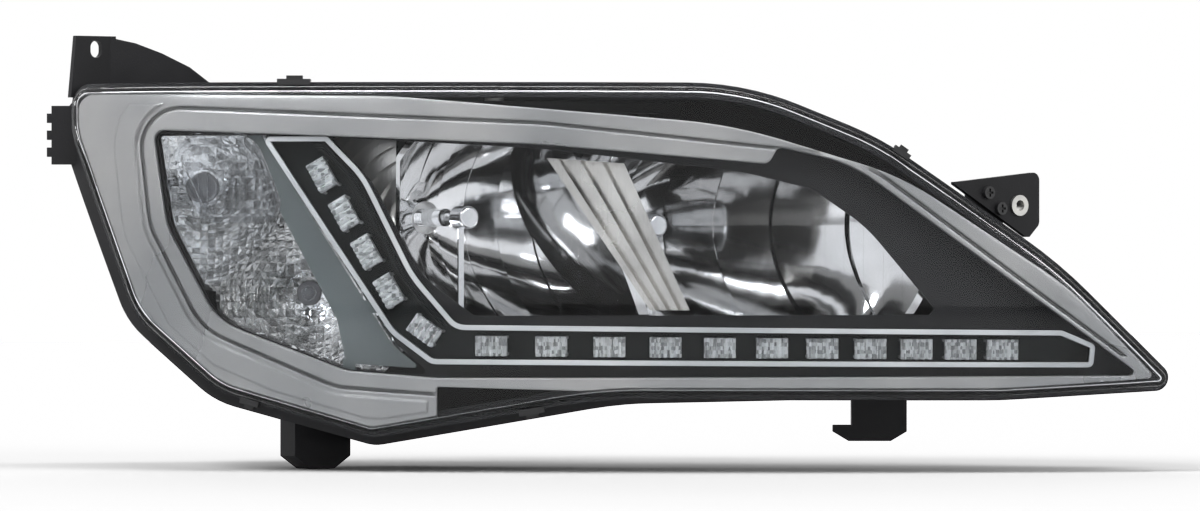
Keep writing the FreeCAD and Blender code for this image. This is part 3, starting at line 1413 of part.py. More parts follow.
def formula(text):
    """Value and sheet expression of a sum of products of aliases and numbers."""
    terms, operator = [], "+"
    for word in text.split():
        if word in "+-*/":
            operator = word
            continue
        value = size(word) if word[0].isalpha() else float(word)
        if operator == "*":
            terms[-1] *= value
        elif operator == "/":
            terms[-1] /= value
        else:
            terms.append(value if operator == "+" else -value)
    words = ["Sizes." + word if word[0].isalpha() else word for word in text.split()]
    return sum(terms), " ".join(words)


def new_body(label, placement):
    """An empty body at a place, listed as a sub-part."""
    item = doc.addObject("PartDesign::Body", label)
    item.Label = label
    item.Placement = placement
    PARTS.append(item)
    return item


def origin_of(owner, role):
    """One of a body's own planes or axes."""
    return next(item for item in owner.Origin.OriginFeatures if item.Role == role)


def sketch_on(owner, name, role, points):
    """A closed outline of straight lines in a plane of a body, every corner tied to the sheet."""
    sketch = owner.newObject("Sketcher::SketchObject", owner.Name + "_" + name)
    sketch.AttachmentSupport = [(origin_of(owner, role), "")]
    sketch.MapMode = "FlatFace"
    spots = [(formula(across), formula(up)) for across, up in points]
    ends = [Vector(across[0], up[0], 0) for across, up in spots]
    count = len(ends)
    for index, start in enumerate(ends):
        sketch.addGeometry(Part.LineSegment(start, ends[(index + 1) % count]))
    for index in range(count):
        sketch.addConstraint(Sketcher.Constraint("Coincident", index, 2, (index + 1) % count, 1))
    for index, spot in enumerate(spots):
        for kind, (value, expression) in zip(("DistanceX", "DistanceY"), spot):
            number = sketch.addConstraint(Sketcher.Constraint(kind, -1, 1, index, 1, value))
            sketch.setExpression("Constraints[%d]" % number, expression)
    return sketch


def block_points(left, right, low, high):
    """The corners of a rectangle."""
    return [(left, low), (right, low), (right, high), (left, high)]


def circles_on(owner, name, role, spots):
    """Circles in a plane of a body: (across, up, radius) formulas."""
    sketch = owner.newObject("Sketcher::SketchObject", owner.Name + "_" + name)
    sketch.AttachmentSupport = [(origin_of(owner, role), "")]
    sketch.MapMode = "FlatFace"
    for index, (across, up, radius) in enumerate(spots):
        centre = Vector(formula(across)[0], formula(up)[0], 0)
        sketch.addGeometry(Part.Circle(centre, Vector(0, 0, 1), formula(radius)[0]))
        for kind, text in (("DistanceX", across), ("DistanceY", up)):
            value, expression = formula(text)
            number = sketch.addConstraint(Sketcher.Constraint(kind, -1, 1, index, 3, value))
            sketch.setExpression("Constraints[%d]" % number, expression)
        value, expression = formula(radius)
        number = sketch.addConstraint(Sketcher.Constraint("Radius", index, value))
        sketch.setExpression("Constraints[%d]" % number, expression)
    return sketch


def turned(owner, sketch, angle="360"):
    """A sketch turned about its upright axis."""
    item = owner.newObject("PartDesign::Revolution", sketch.Name + "_turned")
    item.Profile = sketch
    item.ReferenceAxis = (sketch, ["V_Axis"])
    item.setExpression("Angle", formula(angle)[1])
    return item


def padded(owner, sketch, length):
    """A sketch padded to both sides of its plane."""
    item = owner.newObject("PartDesign::Pad", sketch.Name + "_pad")
    item.Profile = sketch
    item.Midplane = True
    item.setExpression("Length", formula(length)[1])
    return item


def pocketed(owner, sketch, length):
    """A sketch cut away to both sides of its plane."""
    item = owner.newObject("PartDesign::Pocket", sketch.Name + "_pocket")
    item.Profile = sketch
    item.Midplane = True
    item.setExpression("Length", formula(length)[1])
    return item


def rounded_edges(owner, base, radius, wanted):
    """A fillet on the edges of a feature for which wanted(edge) holds."""
    doc.recompute()
    names = ["Edge%d" % (index + 1) for index, edge in enumerate(base.Shape.Edges) if wanted(edge)]
    item = owner.newObject("PartDesign::Fillet", owner.Name + "_fillet")
    item.Base = (base, names)
    item.setExpression("Radius", formula(radius)[1])
    return item


def bulb_glass(label, vertex):
    """Glass of an H7 bulb."""
    body = new_body(label, Placement(vertex, Rotation()))
    points = block_points("0", "glass_radius", "- glass_length", "bulb_neck_length - base_reach")
    glass = turned(body, sketch_on(body, "half", "XY_Plane", points))
    front = -size("glass_length")
    rounded_edges(body, glass, "glass_radius * 0.6",
                  lambda edge: abs(edge.CenterOfMass.y - front) < 0.01 and edge.Length > 20)
    return body


def bulb_base(label, vertex):
    """Flanged metal base of an H7 bulb with its two blade terminals."""
    body = new_body(label, Placement(vertex, Rotation()))
    back = "bulb_neck_length + base_flange_thickness + base_length"
    points = [
        ("0", "bulb_neck_length - base_reach + 0.02"),
        ("bulb_hole - running_gap", "bulb_neck_length - base_reach + 0.02"),
        ("bulb_hole - running_gap", "bulb_neck_length"), ("base_flange", "bulb_neck_length"),
        ("base_flange", "bulb_neck_length + base_flange_thickness"),
        ("base_radius", "bulb_neck_length + base_flange_thickness"), ("base_radius", back), ("0", back),
    ]
    turned(body, sketch_on(body, "half", "XY_Plane", points))
    for name, start, end in (("left", "- blade_spacing - blade_thickness", "- blade_spacing"),
                             ("right", "blade_spacing", "blade_spacing + blade_thickness")):
        blade = block_points(start, end, back + " - 1", back + " + blade_length")
        padded(body, sketch_on(body, name, "XY_Plane", blade), "blade_width")
    return body


def cap(label, centre, end_y):
    """Bayonet rear cap: skirt, flange, crown, grip bar and three lugs."""
    body = new_body(label, Placement(Vector(centre.x, end_y, centre.z), Rotation()))
    seat = "seat_gap + gasket_thickness"
    top = seat + " + cap_flange_thickness"
    skirt_out = "cap_neck_in - cap_gap"
    skirt_in = skirt_out + " - cap_skirt_wall"
    points = [
        ("0", seat), (skirt_in, seat), (skirt_in, "- cap_skirt"),
        (skirt_out, "- cap_skirt"), (skirt_out, seat),
        ("cap_flange", seat), ("cap_flange", top), ("cap_crown_radius", top),
        ("cap_crown_radius - 4", top + " + cap_crown"), ("0", top + " + cap_crown"),
    ]
    turned(body, sketch_on(body, "half", "XY_Plane", points))
    bar = block_points(
        "- cap_grip_length / 2", "cap_grip_length / 2",
        seat + " + 1", top + " + cap_grip_height",
    )
    padded(body, sketch_on(body, "grip", "XY_Plane", bar), "cap_grip_width")
    lug = block_points(
        skirt_out + " - 1", "cap_neck_in + lug_height",
        "- cap_skirt", "- cap_skirt + lug_thickness",
    )
    lugs = turned(body, sketch_on(body, "lug", "XY_Plane", lug), "lug_angle")
    pattern = body.newObject("PartDesign::PolarPattern", label + "_lugs")
    pattern.Originals = [lugs]
    pattern.Axis = (origin_of(body, "Y_Axis"), [""])
    pattern.Angle = 360
    pattern.Occurrences = 3
    body.Tip = pattern
    return body


def gasket(label, centre, end_y):
    """Rubber ring between a cap's flange and the end of its neck."""
    body = new_body(label, Placement(Vector(centre.x, end_y, centre.z), Rotation()))
    start = "cap_neck_in + 0.5"
    points = block_points(start, start + " + gasket_width", "seat_gap", "seat_gap + gasket_thickness")
    turned(body, sketch_on(body, "half", "XY_Plane", points))
    return body


def turn_holder():
    """Twist-in holder of the turn bulb, from outside the housing to the chamber's rear socket."""
    body = new_body("turn_holder", LENS_FRAME.multiply(Placement(TURN, Rotation())))
    nose = "turn_neck_in - turn_nose_gap - cap_gap"
    plug = "turn_neck_in - cap_gap"
    outside = "seat_gap + holder_thickness"
    front = "turn_cup_y - turn_neck_y"
    points = [
        ("0", front), (nose, front), (nose, "- turn_plug_length"),
        (plug, "- turn_plug_length"), (plug, "seat_gap"),
        ("turn_flange", "seat_gap"), ("turn_flange", outside), ("0", outside),
    ]
    turned(body, sketch_on(body, "half", "XY_Plane", points))
    bar = block_points("- turn_neck_in", "turn_neck_in", "seat_gap + 1", outside + " + grip_height")
    padded(body, sketch_on(body, "grip", "XY_Plane", bar), "grip_width")
    return body


def side_holder():
    """Push-in holder of the side-light bulb, behind the lower dish of the chamber."""
    seat = Vector(size("side_x"), size("turn_cup_y") - 8.0, size("side_z"))
    body = new_body("side_holder", LENS_FRAME.multiply(Placement(seat, Rotation())))
    nose = "side_holder_radius - cap_gap"
    points = [
        ("0", "- 2"), (nose, "- 2"), (nose, "5 + seat_gap"), ("side_flange", "5 + seat_gap"),
        ("side_flange", "5 + seat_gap + holder_thickness"),
        ("side_holder_radius - 2", "5 + seat_gap + holder_thickness"),
        ("side_holder_radius - 2", "5 + side_tail"), ("0", "5 + side_tail"),
    ]
    turned(body, sketch_on(body, "half", "XY_Plane", points))
    return body


def small_bulb(label, placement, radius, length):
    """Wedge or bayonet bulb: a turned glass with a rounded front."""
    body = new_body(label, placement)
    glass = turned(body, sketch_on(body, "half", "XY_Plane", block_points("0", radius, "- " + length, "0")))
    front = -size(length)
    rounded_edges(body, glass, radius + " * 0.8",
                  lambda edge: abs(edge.CenterOfMass.y - front) < 0.01 and edge.Length > 20)
    return body


def inlet_connector():
    """Shrouded connector insert of the electrical inlet."""
    body = new_body("inlet_connector", Placement(INLET, Rotation()))
    half = "inlet_width / 2 - 0.2"
    outer = block_points("- inlet_width / 2 + 0.2", half, "- inlet_deep - 6", "0")
    padded(body, sketch_on(body, "outer", "XY_Plane", outer), "inlet_height - 0.4")
    inner = block_points("- inlet_width / 2 + inlet_wall + 0.2", half + " - inlet_wall", "- inlet_deep", "1")
    pocketed(body, sketch_on(body, "inner", "XY_Plane", inner), "inlet_height - 0.4 - inlet_wall * 2")
    return body


def inlet_pins():
    """Ten square pins of the inlet, in two rows."""
    side = size("pin_side")
    pins = []
    for row_z in (-5.0, 5.0):
        for column in range(5):
            x = INLET.x + (column - 2) * 7.5
            pins.append(box((x - side / 2, x + side / 2), (INLET.y - size("inlet_deep"), INLET.y - 6),
                            (INLET.z + row_z - side / 2, INLET.z + row_z + side / 2)))
    return Part.makeCompound(pins)


def inner_bracket():
    """Plate bracket that carries the fixing sleeve."""
    body = new_body("inner_bracket", WORLD)
    outline = [
        ("plate_low_left", "- plate_low"), ("plate_low_right", "- plate_low"),
        ("plate_right", "- plate_right_low"),
        ("plate_right", "plate_top"), ("- plate_left", "plate_left_top"), ("- plate_left", "plate_left_low"),
    ]
    plate_pad = padded(body, sketch_on(body, "outline", "XZ_Plane", outline), "bracket_thickness")
    corners = [(size("plate_right"), -size("plate_right_low")), (size("plate_right"), size("plate_top"))]
    rounded_edges(body, plate_pad, "bracket_round", lambda edge: any(
        abs(edge.CenterOfMass.x - x) < 0.01 and abs(edge.CenterOfMass.z - z) < 0.01 for x, z in corners))
    spots = [("0", "0", "sleeve_radius + 0.02")]
    for x, z in BRACKET_SCREWS:
        spots.append(("- %g" % -x, "%s %g" % ("-" if z < 0 else "0 +", abs(z)), "screw_hole"))
    pocketed(body, circles_on(body, "holes", "XZ_Plane", spots), "bracket_thickness * 2")
    return body


def fixing_sleeve():
    """Steel compression sleeve of the inner fixing."""
    body = new_body("fixing_sleeve", WORLD)
    points = block_points("sleeve_bore", "sleeve_radius", "- sleeve_length / 2", "sleeve_length / 2")
    turned(body, sketch_on(body, "half", "XY_Plane", points))
    return body


def bracket_screws():
    """The two screws of the inner bracket."""
    screws = []
    front = -BRACKET_BACK
    for x, z in BRACKET_SCREWS:
        head = rod(size("screw_head"), Vector(x, front - 3, z), Vector(x, front, z))
        shank = rod(size("screw_radius"), Vector(x, front - 1, z), Vector(x, front + size("screw_length"), z))
        recess = box((x - 0.7, x + 0.7), (front - 4, front - 1.6), (z - 2.6, z + 2.6))
        cross = box((x - 2.6, x + 2.6), (front - 4, front - 1.6), (z - 0.7, z + 0.7))
        screws.append(fused([head, shank]).cut(recess.fuse(cross)))
    return Part.makeCompound(screws)


# ---------------------------------------------------------------------------------------------
# The assembly
# ---------------------------------------------------------------------------------------------

for label, shape in (
    ("outer_lens", outer_lens()),
    ("lens_seal", lens_seal()),
    ("lens_clips", lens_clips()),
    ("housing", housing()),
    ("bezel", bezel()),
    ("inner_panel", panel()),
    ("drl_tray", drl_tray()),
    ("drl_rim", drl_rim()),
    ("drl_board", drl_board()),
    ("drl_optics", drl_optics()),
    ("drl_leds", drl_leds()),
    ("drl_heat_sink", drl_heat_sink()),
    ("turn_reflector", turn_reflector()),
    ("turn_inner_lens", turn_inner_lens()),
    ("tinted_panel", tinted_panel()),
    ("fluted_panel", fluted_panel()),
    ("divider", divider()),
):
    feature(label, shape, LENS_FRAME)

LOW_BOWL, HIGH_BOWL = low_reflector(), high_reflector()
for label, shape in (
    ("low_reflector", LOW_BOWL),
    ("high_reflector", HIGH_BOWL),
    ("low_glare_shield", glare_shield(LOW, LOW_BOWL)),
    ("high_glare_shield", glare_shield(HIGH, HIGH_BOWL)),
    ("low_bulb_clip", clip_wire(LOW)),
    ("high_bulb_clip", clip_wire(HIGH)),
    ("aim_beam", aim_beam()),
    ("aim_pins", aim_pins()),
    ("pivot_stud", pivot_stud()),
    ("levelling_rod", levelling_rod()),
    ("levelling_motor", levelling_motor()),
    ("vertical_adjuster", vertical_adjuster()),
    ("side_adjuster", side_adjuster()),
    ("adjuster_nut", adjuster_nut()),
    ("inlet_pins", inlet_pins()),
    ("bracket_screws", bracket_screws()),
):
    feature(label, shape)

for side, vertex in (("low", LOW), ("high", HIGH)):
    bulb_glass(side + "_bulb_glass", vertex)
    bulb_base(side + "_bulb_base", vertex)
    cap(side + "_cap", *NECKS[side])
    gasket(side + "_cap_gasket", *NECKS[side])
turn_holder()
side_holder()
TURN_SEAT = Vector(size("turn_x"), size("turn_cup_y") - 0.05, size("turn_z"))
SIDE_SEAT = Vector(size("side_x"), size("turn_cup_y") - 10.05, size("side_z"))
turn_place = LENS_FRAME.multiply(Placement(TURN_SEAT, Rotation()))
small_bulb("turn_bulb", turn_place, "turn_bulb_radius", "turn_bulb_length")
side_place = LENS_FRAME.multiply(Placement(SIDE_SEAT, Rotation()))
small_bulb("side_bulb", side_place, "side_bulb_radius", "side_bulb_length")
inlet_connector()
inner_bracket()
fixing_sleeve()
doc.recompute()

for item in doc.Objects:
    if "Invalid" in item.State or "Error" in item.State:
        raise RuntimeError("%s does not build" % item.Label)
for item in PARTS:
    if item.Shape.isNull() or not item.Shape.isValid():
        raise RuntimeError("%s has no sound shape" % item.Label)

os.makedirs("parts", exist_ok=True)
for item in PARTS:
    item.Shape.exportStep("parts/%s.step" % item.Label)
print("sub-parts:", len(PARTS))
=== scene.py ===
import math

import bpy
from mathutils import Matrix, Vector


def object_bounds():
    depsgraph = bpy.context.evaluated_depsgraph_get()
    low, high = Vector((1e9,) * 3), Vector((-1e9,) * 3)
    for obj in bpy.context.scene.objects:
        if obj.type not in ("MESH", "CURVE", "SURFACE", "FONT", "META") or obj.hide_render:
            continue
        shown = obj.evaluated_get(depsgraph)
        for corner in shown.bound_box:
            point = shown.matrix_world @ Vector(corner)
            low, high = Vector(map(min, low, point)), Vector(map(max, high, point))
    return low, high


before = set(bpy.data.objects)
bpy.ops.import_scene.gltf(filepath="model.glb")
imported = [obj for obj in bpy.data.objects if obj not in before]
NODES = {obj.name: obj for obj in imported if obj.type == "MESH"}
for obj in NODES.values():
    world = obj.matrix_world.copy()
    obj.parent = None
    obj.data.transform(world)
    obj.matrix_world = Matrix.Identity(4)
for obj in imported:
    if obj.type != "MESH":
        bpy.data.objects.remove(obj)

CAD_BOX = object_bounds()
YAW = math.radians(35.0)    # how far the lens frame is turned from the shared frame


# --- node helpers -------------------------------------------------------------------------------

def new_material(name):
    material = bpy.data.materials.new(name)
    material.use_nodes = True
    tree = material.node_tree
    tree.nodes.clear()
    output = tree.nodes.new("ShaderNodeOutputMaterial")
    shader = tree.nodes.new("ShaderNodeBsdfPrincipled")
    tree.links.new(shader.outputs[0], output.inputs["Surface"])
    return material, tree, shader


def coordinates(tree, turn=0.0):
    place = tree.nodes.new("ShaderNodeTexCoord")
    mapping = tree.nodes.new("ShaderNodeMapping")
    mapping.inputs["Rotation"].default_value = (0, 0, turn)
    tree.links.new(place.outputs["Object"], mapping.inputs["Vector"])
    return mapping.outputs["Vector"]


def noise(tree, vector, scale, detail=3.0):
    node = tree.nodes.new("ShaderNodeTexNoise")
    node.inputs["Scale"].default_value = scale
    node.inputs["Detail"].default_value = detail
    tree.links.new(vector, node.inputs["Vector"])
    return node.outputs["Fac"]


def two_tone(tree, value, dark, light, start=0.3, end=0.7):
    """Colour that goes from dark to light while the value goes from start to end."""
    node = tree.nodes.new("ShaderNodeValToRGB")
    for point, at, colour in zip(node.color_ramp.elements, (start, end), (dark, light)):
        point.position = at
        point.color = (*colour, 1.0)
    tree.links.new(value, node.inputs["Fac"])
    return node.outputs["Color"]


def spread(tree, value, low, high, from_low=0.3, from_high=0.7):
    node = tree.nodes.new("ShaderNodeMapRange")
    node.inputs["From Min"].default_value = from_low
    node.inputs["From Max"].default_value = from_high
    node.inputs["To Min"].default_value = low
    node.inputs["To Max"].default_value = high
    tree.links.new(value, node.inputs["Value"])
    return node.outputs["Result"]


def bump(tree, shader, value, strength, distance):
    node = tree.nodes.new("ShaderNodeBump")
    node.inputs["Strength"].default_value = strength
    node.inputs["Distance"].default_value = distance
    tree.links.new(value, node.inputs["Height"])
    tree.links.new(node.outputs["Normal"], shader.inputs["Normal"])


def cells(tree, vector, scale, uneven=0.35):
    """Pyramid-shaped cells: the distance to each one's middle, and a tint of its own."""
    node = tree.nodes.new("ShaderNodeTexVoronoi")
    node.distance = "CHEBYCHEV"
    node.inputs["Scale"].default_value = scale
    node.inputs["Randomness"].default_value = uneven
    tree.links.new(vector, node.inputs["Vector"])
    return node.outputs["Distance"], node.outputs["Color"]


def bands(tree, vector, scale, waver):
    """Upright saw-tooth bands that waver a little."""
    node = tree.nodes.new("ShaderNodeTexWave")
    node.bands_direction = "X"
    node.wave_profile = "SAW"
    node.inputs["Scale"].default_value = scale
    node.inputs["Distortion"].default_value = waver
    tree.links.new(vector, node.inputs["Vector"])
    return node.outputs["Fac"]


def larger(tree, first, second):
    """The larger of two values."""
    node = tree.nodes.new("ShaderNodeMath")
    node.operation = "MAXIMUM"
    tree.links.new(first, node.inputs[0])
    tree.links.new(second, node.inputs[1])
    return node.outputs[0]


def set_constants(shader, constants):
    """Uniform values for named sockets, with an underscore for each space."""
    for socket, value in constants.items():
        shader.inputs[socket.replace("_", " ")].default_value = value


# --- kinds of finish ----------------------------------------------------------------------------

def solid(name, dark, light, rough=(0.4, 0.5), metallic=0.0, patch=18.0, grain=900.0, grain_depth=0.0,
          grain_strength=0.3, grain_detail=2.0, **constants):
    """Everyday finish: two close tones in soft patches, uneven roughness and, if asked, a fine grain."""
    material, tree, shader = new_material(name)
    vector = coordinates(tree)
    soft = noise(tree, vector, patch)
    tree.links.new(two_tone(tree, soft, dark, light), shader.inputs["Base Color"])
    tree.links.new(spread(tree, soft, *rough), shader.inputs["Roughness"])
    shader.inputs["Metallic"].default_value = metallic
    set_constants(shader, constants)
    if grain_depth:
        bump(tree, shader, noise(tree, vector, grain, grain_detail), grain_strength, grain_depth)
    return material


def clear(name, dark, light, rough=(0.0, 0.02), ior=1.5, patch=9.0, **constants):
    """Clear moulding: see-through, with a very slight drift of tint and gloss."""
    material, tree, shader = new_material(name)
    soft = noise(tree, coordinates(tree), patch)
    tree.links.new(two_tone(tree, soft, dark, light), shader.inputs["Base Color"])
    tree.links.new(spread(tree, soft, *rough), shader.inputs["Roughness"])
    shader.inputs["Transmission Weight"].default_value = 1.0
    shader.inputs["IOR"].default_value = ior
    set_constants(shader, constants)
    return material


def optic(name, dark, light, scale, depth, metallic=0.0, rough=0.12, strength=1.0):
    """Prismatic or pillowed surface: small pyramids that each catch the light differently."""
    material, tree, shader = new_material(name)
    height, tint = cells(tree, coordinates(tree, YAW), scale)
    tree.links.new(two_tone(tree, tint, dark, light, start=0.25, end=0.6), shader.inputs["Base Color"])
    shader.inputs["Metallic"].default_value = metallic
    shader.inputs["Roughness"].default_value = rough
    bump(tree, shader, height, strength, depth)
    return material


def satin(name, dark, light, edge, metallic=0.5, rough=(0.34, 0.44), patch=9.0, edge_samples=6):
    """Satin silver coat with edges that look rounded."""
    material, tree, shader = new_material(name)
    soft = noise(tree, coordinates(tree), patch)
    tree.links.new(two_tone(tree, soft, dark, light, start=0.35, end=0.65), shader.inputs["Base Color"])
    tree.links.new(spread(tree, soft, *rough), shader.inputs["Roughness"])
    shader.inputs["Metallic"].default_value = metallic
    rounded = tree.nodes.new("ShaderNodeBevel")
    rounded.samples = edge_samples
    rounded.inputs["Radius"].default_value = edge
    tree.links.new(rounded.outputs["Normal"], shader.inputs["Normal"])
    return material


def facets(name, dark, light, scale, depth, rough=(0.05, 0.1), patch=14.0, waver=0.6, strength=0.6):
    """Vacuum-metallised plastic: upright facets and a drifting tone."""
    material, tree, shader = new_material(name)
    vector = coordinates(tree, YAW)
    soft = noise(tree, vector, patch)
    tree.links.new(two_tone(tree, soft, dark, light, start=0.35, end=0.65), shader.inputs["Base Color"])
    tree.links.new(spread(tree, soft, *rough), shader.inputs["Roughness"])
    shader.inputs["Metallic"].default_value = 1.0
    bump(tree, shader, bands(tree, vector, scale, waver), strength, depth)
    return material


# --- finishes -----------------------------------------------------------------------------------

LENS = clear("lens_clear", (0.93, 0.95, 0.98), (0.97, 0.98, 1.0), rough=(0.0, 0.012), ior=1.22)
PANE = clear("pane_clear", (0.90, 0.93, 0.96), (0.97, 0.98, 1.0), rough=(0.02, 0.08), ior=1.5)
OPTIC = optic("optic_prisms", (0.30, 0.31, 0.31), (0.74, 0.76, 0.76), scale=420.0, depth=0.0005, rough=0.2)
PILLOWS = optic("pillow_chrome", (0.46, 0.46, 0.455), (0.95, 0.95, 0.94), scale=200.0, depth=0.0009,
                metallic=1.0)
SMOKED = clear("smoked", (0.15, 0.18, 0.18), (0.20, 0.23, 0.23), rough=(0.12, 0.2), ior=1.5,
               Transmission_Weight=0.45)
BULB = clear("bulb_glass", (0.93, 0.95, 0.98), (0.98, 0.99, 1.0), ior=1.45)
BLACK = solid("housing_black", (0.010, 0.010, 0.011), (0.020, 0.020, 0.022), (0.45, 0.6), grain_depth=0.0003,
              Specular_IOR_Level=0.2)
CAP = solid("cap_black", (0.012, 0.012, 0.013), (0.024, 0.024, 0.026), (0.35, 0.5), grain_depth=0.0002)
SEALANT = solid("sealant", (0.03, 0.03, 0.032), (0.06, 0.06, 0.065), (0.6, 0.8), grain_depth=0.0004)
SPRING = solid("spring_steel", (0.50, 0.51, 0.53), (0.64, 0.65, 0.67), (0.25, 0.35), metallic=1.0)
STEEL = solid("zinc_steel", (0.48, 0.48, 0.47), (0.62, 0.61, 0.58), (0.3, 0.45), metallic=1.0, patch=60.0)
SILVER = satin("silver_satin", (0.27, 0.27, 0.265), (0.37, 0.365, 0.355), edge=0.0025, metallic=0.7,
               rough=(0.26, 0.36))
RIM = satin("rim_bright", (0.42, 0.43, 0.43), (0.66, 0.67, 0.67), edge=0.0008)
CHARCOAL = solid("panel_charcoal", (0.012, 0.012, 0.013), (0.020, 0.020, 0.021), (0.5, 0.65),
                 grain_depth=0.0002, Specular_IOR_Level=0.2)
TRAY = solid("tray_dark", (0.010, 0.012, 0.012), (0.016, 0.019, 0.019), (0.4, 0.55), grain_depth=0.0001,
             Specular_IOR_Level=0.2)
BOARD = solid("board_dark", (0.008, 0.011, 0.011), (0.013, 0.017, 0.017), (0.45, 0.6), Specular_IOR_Level=0.2)
LED = solid("led_phosphor", (0.90, 0.80, 0.25), (0.97, 0.90, 0.40), (0.3, 0.4))
SINK = solid("sink_cast", (0.45, 0.46, 0.47), (0.58, 0.59, 0.60), (0.4, 0.55), metallic=1.0,
             grain_depth=0.0002)
CHROME = facets("plain_chrome", (0.52, 0.53, 0.54), (0.78, 0.79, 0.80), scale=22.0, depth=0.002)
BOWL = facets("bowl_chrome", (0.62, 0.62, 0.62), (0.82, 0.82, 0.82), scale=26.0, depth=0.002)
FAN = facets("fluted_chrome", (0.40, 0.39, 0.37), (0.78, 0.76, 0.72), scale=110.0, depth=0.003,
             rough=(0.2, 0.32))
FLUTES = facets("flute_chrome", (0.66, 0.65, 0.63), (0.90, 0.89, 0.86), scale=110.0, depth=0.001,
                rough=(0.27, 0.33))
WHEEL = solid("adjuster_white", (0.72, 0.72, 0.68), (0.82, 0.82, 0.78), (0.4, 0.5))
DRIVE = solid("drive_black", (0.030, 0.030, 0.032), (0.050, 0.050, 0.054), (0.25, 0.35))
BASE = solid("bulb_base", (0.60, 0.60, 0.60), (0.72, 0.72, 0.71), (0.25, 0.35), metallic=1.0)
CONTACT = solid("contact_brass", (0.60, 0.45, 0.18), (0.72, 0.56, 0.26), (0.2, 0.3), metallic=1.0)
RUBBER = solid("rubber", (0.014, 0.014, 0.014), (0.024, 0.024, 0.024), (0.65, 0.8), grain_depth=0.0002)
HOLDER = solid("holder_grey", (0.22, 0.22, 0.23), (0.30, 0.30, 0.31), (0.4, 0.5))

FINISH = {
    "outer_lens": LENS, "lens_seal": SEALANT, "lens_clips": CAP, "housing": BLACK, "bezel": SILVER,
    "inner_panel": CHARCOAL, "drl_tray": TRAY, "drl_rim": RIM, "drl_board": BOARD, "drl_optics": OPTIC,
    "drl_leds": LED, "drl_heat_sink": SINK, "turn_reflector": PILLOWS, "turn_inner_lens": PANE,
    "tinted_panel": SMOKED, "pivot_stud": STEEL, "levelling_motor": DRIVE, "inlet_connector": CAP,
    "inlet_pins": CONTACT, "inner_bracket": BLACK, "fixing_sleeve": STEEL, "bracket_screws": CAP,
    "aim_beam": CAP, "aim_pins": STEEL, "low_reflector": BOWL, "high_reflector": BOWL,
    "fluted_panel": FLUTES, "divider": FAN, "low_glare_shield": CHROME, "high_glare_shield": CHROME,
    "low_bulb_glass": BULB, "high_bulb_glass": BULB, "low_bulb_base": BASE, "high_bulb_base": BASE,
    "low_bulb_clip": SPRING, "high_bulb_clip": SPRING, "levelling_rod": WHEEL, "vertical_adjuster": WHEEL,
    "side_adjuster": WHEEL, "adjuster_nut": WHEEL, "low_cap": CAP, "high_cap": CAP,
    "low_cap_gasket": RUBBER, "high_cap_gasket": RUBBER, "turn_holder": HOLDER, "turn_bulb": BULB,
    "side_holder": HOLDER, "side_bulb": BULB,
}
for node, item in NODES.items():
    item.data.materials.clear()
    item.data.materials.append(FINISH[node])


# --- stage --------------------------------------------------------------------------------------

def from_lens(x, y, z):
    """A point of the lens frame, in metres, given in the shared frame."""
    return Vector((x * math.cos(YAW) + y * math.sin(YAW), -x * math.sin(YAW) + y * math.cos(YAW), z))


def aim(item, target):
    """Turn a lamp or the camera to look at a point."""
    item.rotation_mode = "QUATERNION"
    item.rotation_quaternion = (target - item.location).to_track_quat("-Z", "Y")


MIDDLE_X, MIDDLE_Y, MIDDLE_Z = -0.2646, -0.040, -0.0318     # middle of the view, in the lens frame
MIDDLE = from_lens(MIDDLE_X, MIDDLE_Y, MIDDLE_Z)
FLOOR_SIZE = 12.0
FLOOR_GAP = 0.0005

bpy.ops.mesh.primitive_plane_add(size=FLOOR_SIZE, location=(MIDDLE.x, MIDDLE.y, CAD_BOX[0].z - FLOOR_GAP))
floor = bpy.context.object
floor.name = "floor"
floor.is_shadow_catcher = True


def floor_finish():
    material, tree, shader = new_material("floor_pale")
    soft = noise(tree, coordinates(tree), scale=1.5)
    pale = two_tone(tree, soft, (0.86, 0.86, 0.86), (0.90, 0.90, 0.90))
    tree.links.new(pale, shader.inputs["Base Color"])
    shader.inputs["Roughness"].default_value = 0.9
    return material


def background(tree, grey, strength):
    node = tree.nodes.new("ShaderNodeBackground")
    node.inputs["Color"].default_value = (grey, grey, grey, 1.0)
    node.inputs["Strength"].default_value = strength
    return node.outputs[0]


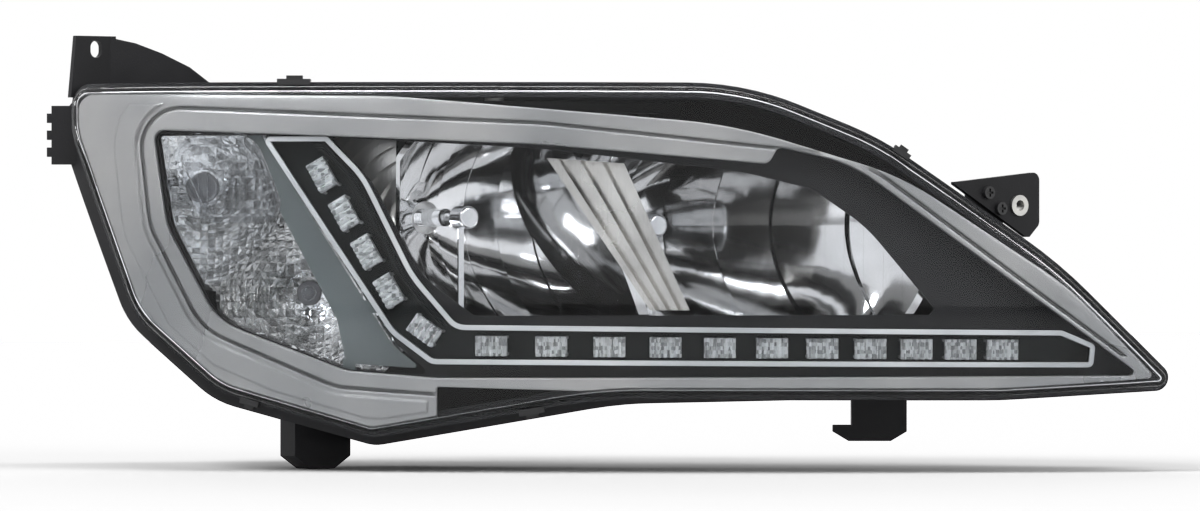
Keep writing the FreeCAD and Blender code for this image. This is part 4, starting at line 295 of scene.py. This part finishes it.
def studio():
    """Soft grey light from all round. Camera, glossy and see-through rays find plain white there."""
    world = bpy.data.worlds.new("studio")
    world.use_nodes = True
    tree = world.node_tree
    tree.nodes.clear()
    output = tree.nodes.new("ShaderNodeOutputWorld")
    plain = background(tree, grey=0.50, strength=0.6)
    white = background(tree, grey=1.0, strength=1.0)
    rays = tree.nodes.new("ShaderNodeLightPath")
    seen = larger(tree, rays.outputs["Is Camera Ray"], rays.outputs["Is Glossy Ray"])
    seen = larger(tree, seen, rays.outputs["Is Transmission Ray"])
    mix = tree.nodes.new("ShaderNodeMixShader")
    tree.links.new(seen, mix.inputs["Fac"])
    tree.links.new(plain, mix.inputs[1])
    tree.links.new(white, mix.inputs[2])
    tree.links.new(mix.outputs[0], output.inputs["Surface"])
    return world


def lamp(name, place, size, power):
    """Area lamp turned to the middle: place in the lens frame and size in metres, power in watts."""
    data = bpy.data.lights.new(name, "AREA")
    data.shape = "RECTANGLE"
    data.size, data.size_y = size
    data.energy = power
    item = bpy.data.objects.new(name, data)
    bpy.context.collection.objects.link(item)
    item.location = from_lens(*place)
    aim(item, MIDDLE)


floor.data.materials.append(floor_finish())
bpy.context.scene.world = studio()
lamp("key", (-1.9, -1.3, 1.9), (1.0, 1.0), 48.0)
lamp("fill", (1.9, -1.8, 1.0), (0.8, 1.2), 22.0)
lamp("top", (-0.2, -0.3, 2.0), (1.8, 0.5), 20.0)
lamp("back", (-0.6, 2.2, 1.2), (1.6, 1.0), 14.0)

# --- camera -------------------------------------------------------------------------------------

DISTANCE = 4.6
FRAME_WIDTH = 0.756     # what the view spans at the middle, in metres
SENSOR_WIDTH = 36.0     # in millimetres, as is the focal length
camera_data = bpy.data.cameras.new("camera")
camera_data.sensor_width = SENSOR_WIDTH
camera_data.lens = SENSOR_WIDTH * DISTANCE / FRAME_WIDTH
camera_data.clip_start = 0.05
camera_data.clip_end = 60.0
camera = bpy.data.objects.new("camera", camera_data)
bpy.context.collection.objects.link(camera)
camera.location = from_lens(MIDDLE_X, MIDDLE_Y - DISTANCE, MIDDLE_Z)
aim(camera, MIDDLE)
bpy.context.scene.camera = camera
bpy.context.scene.view_settings.view_transform = "Standard"
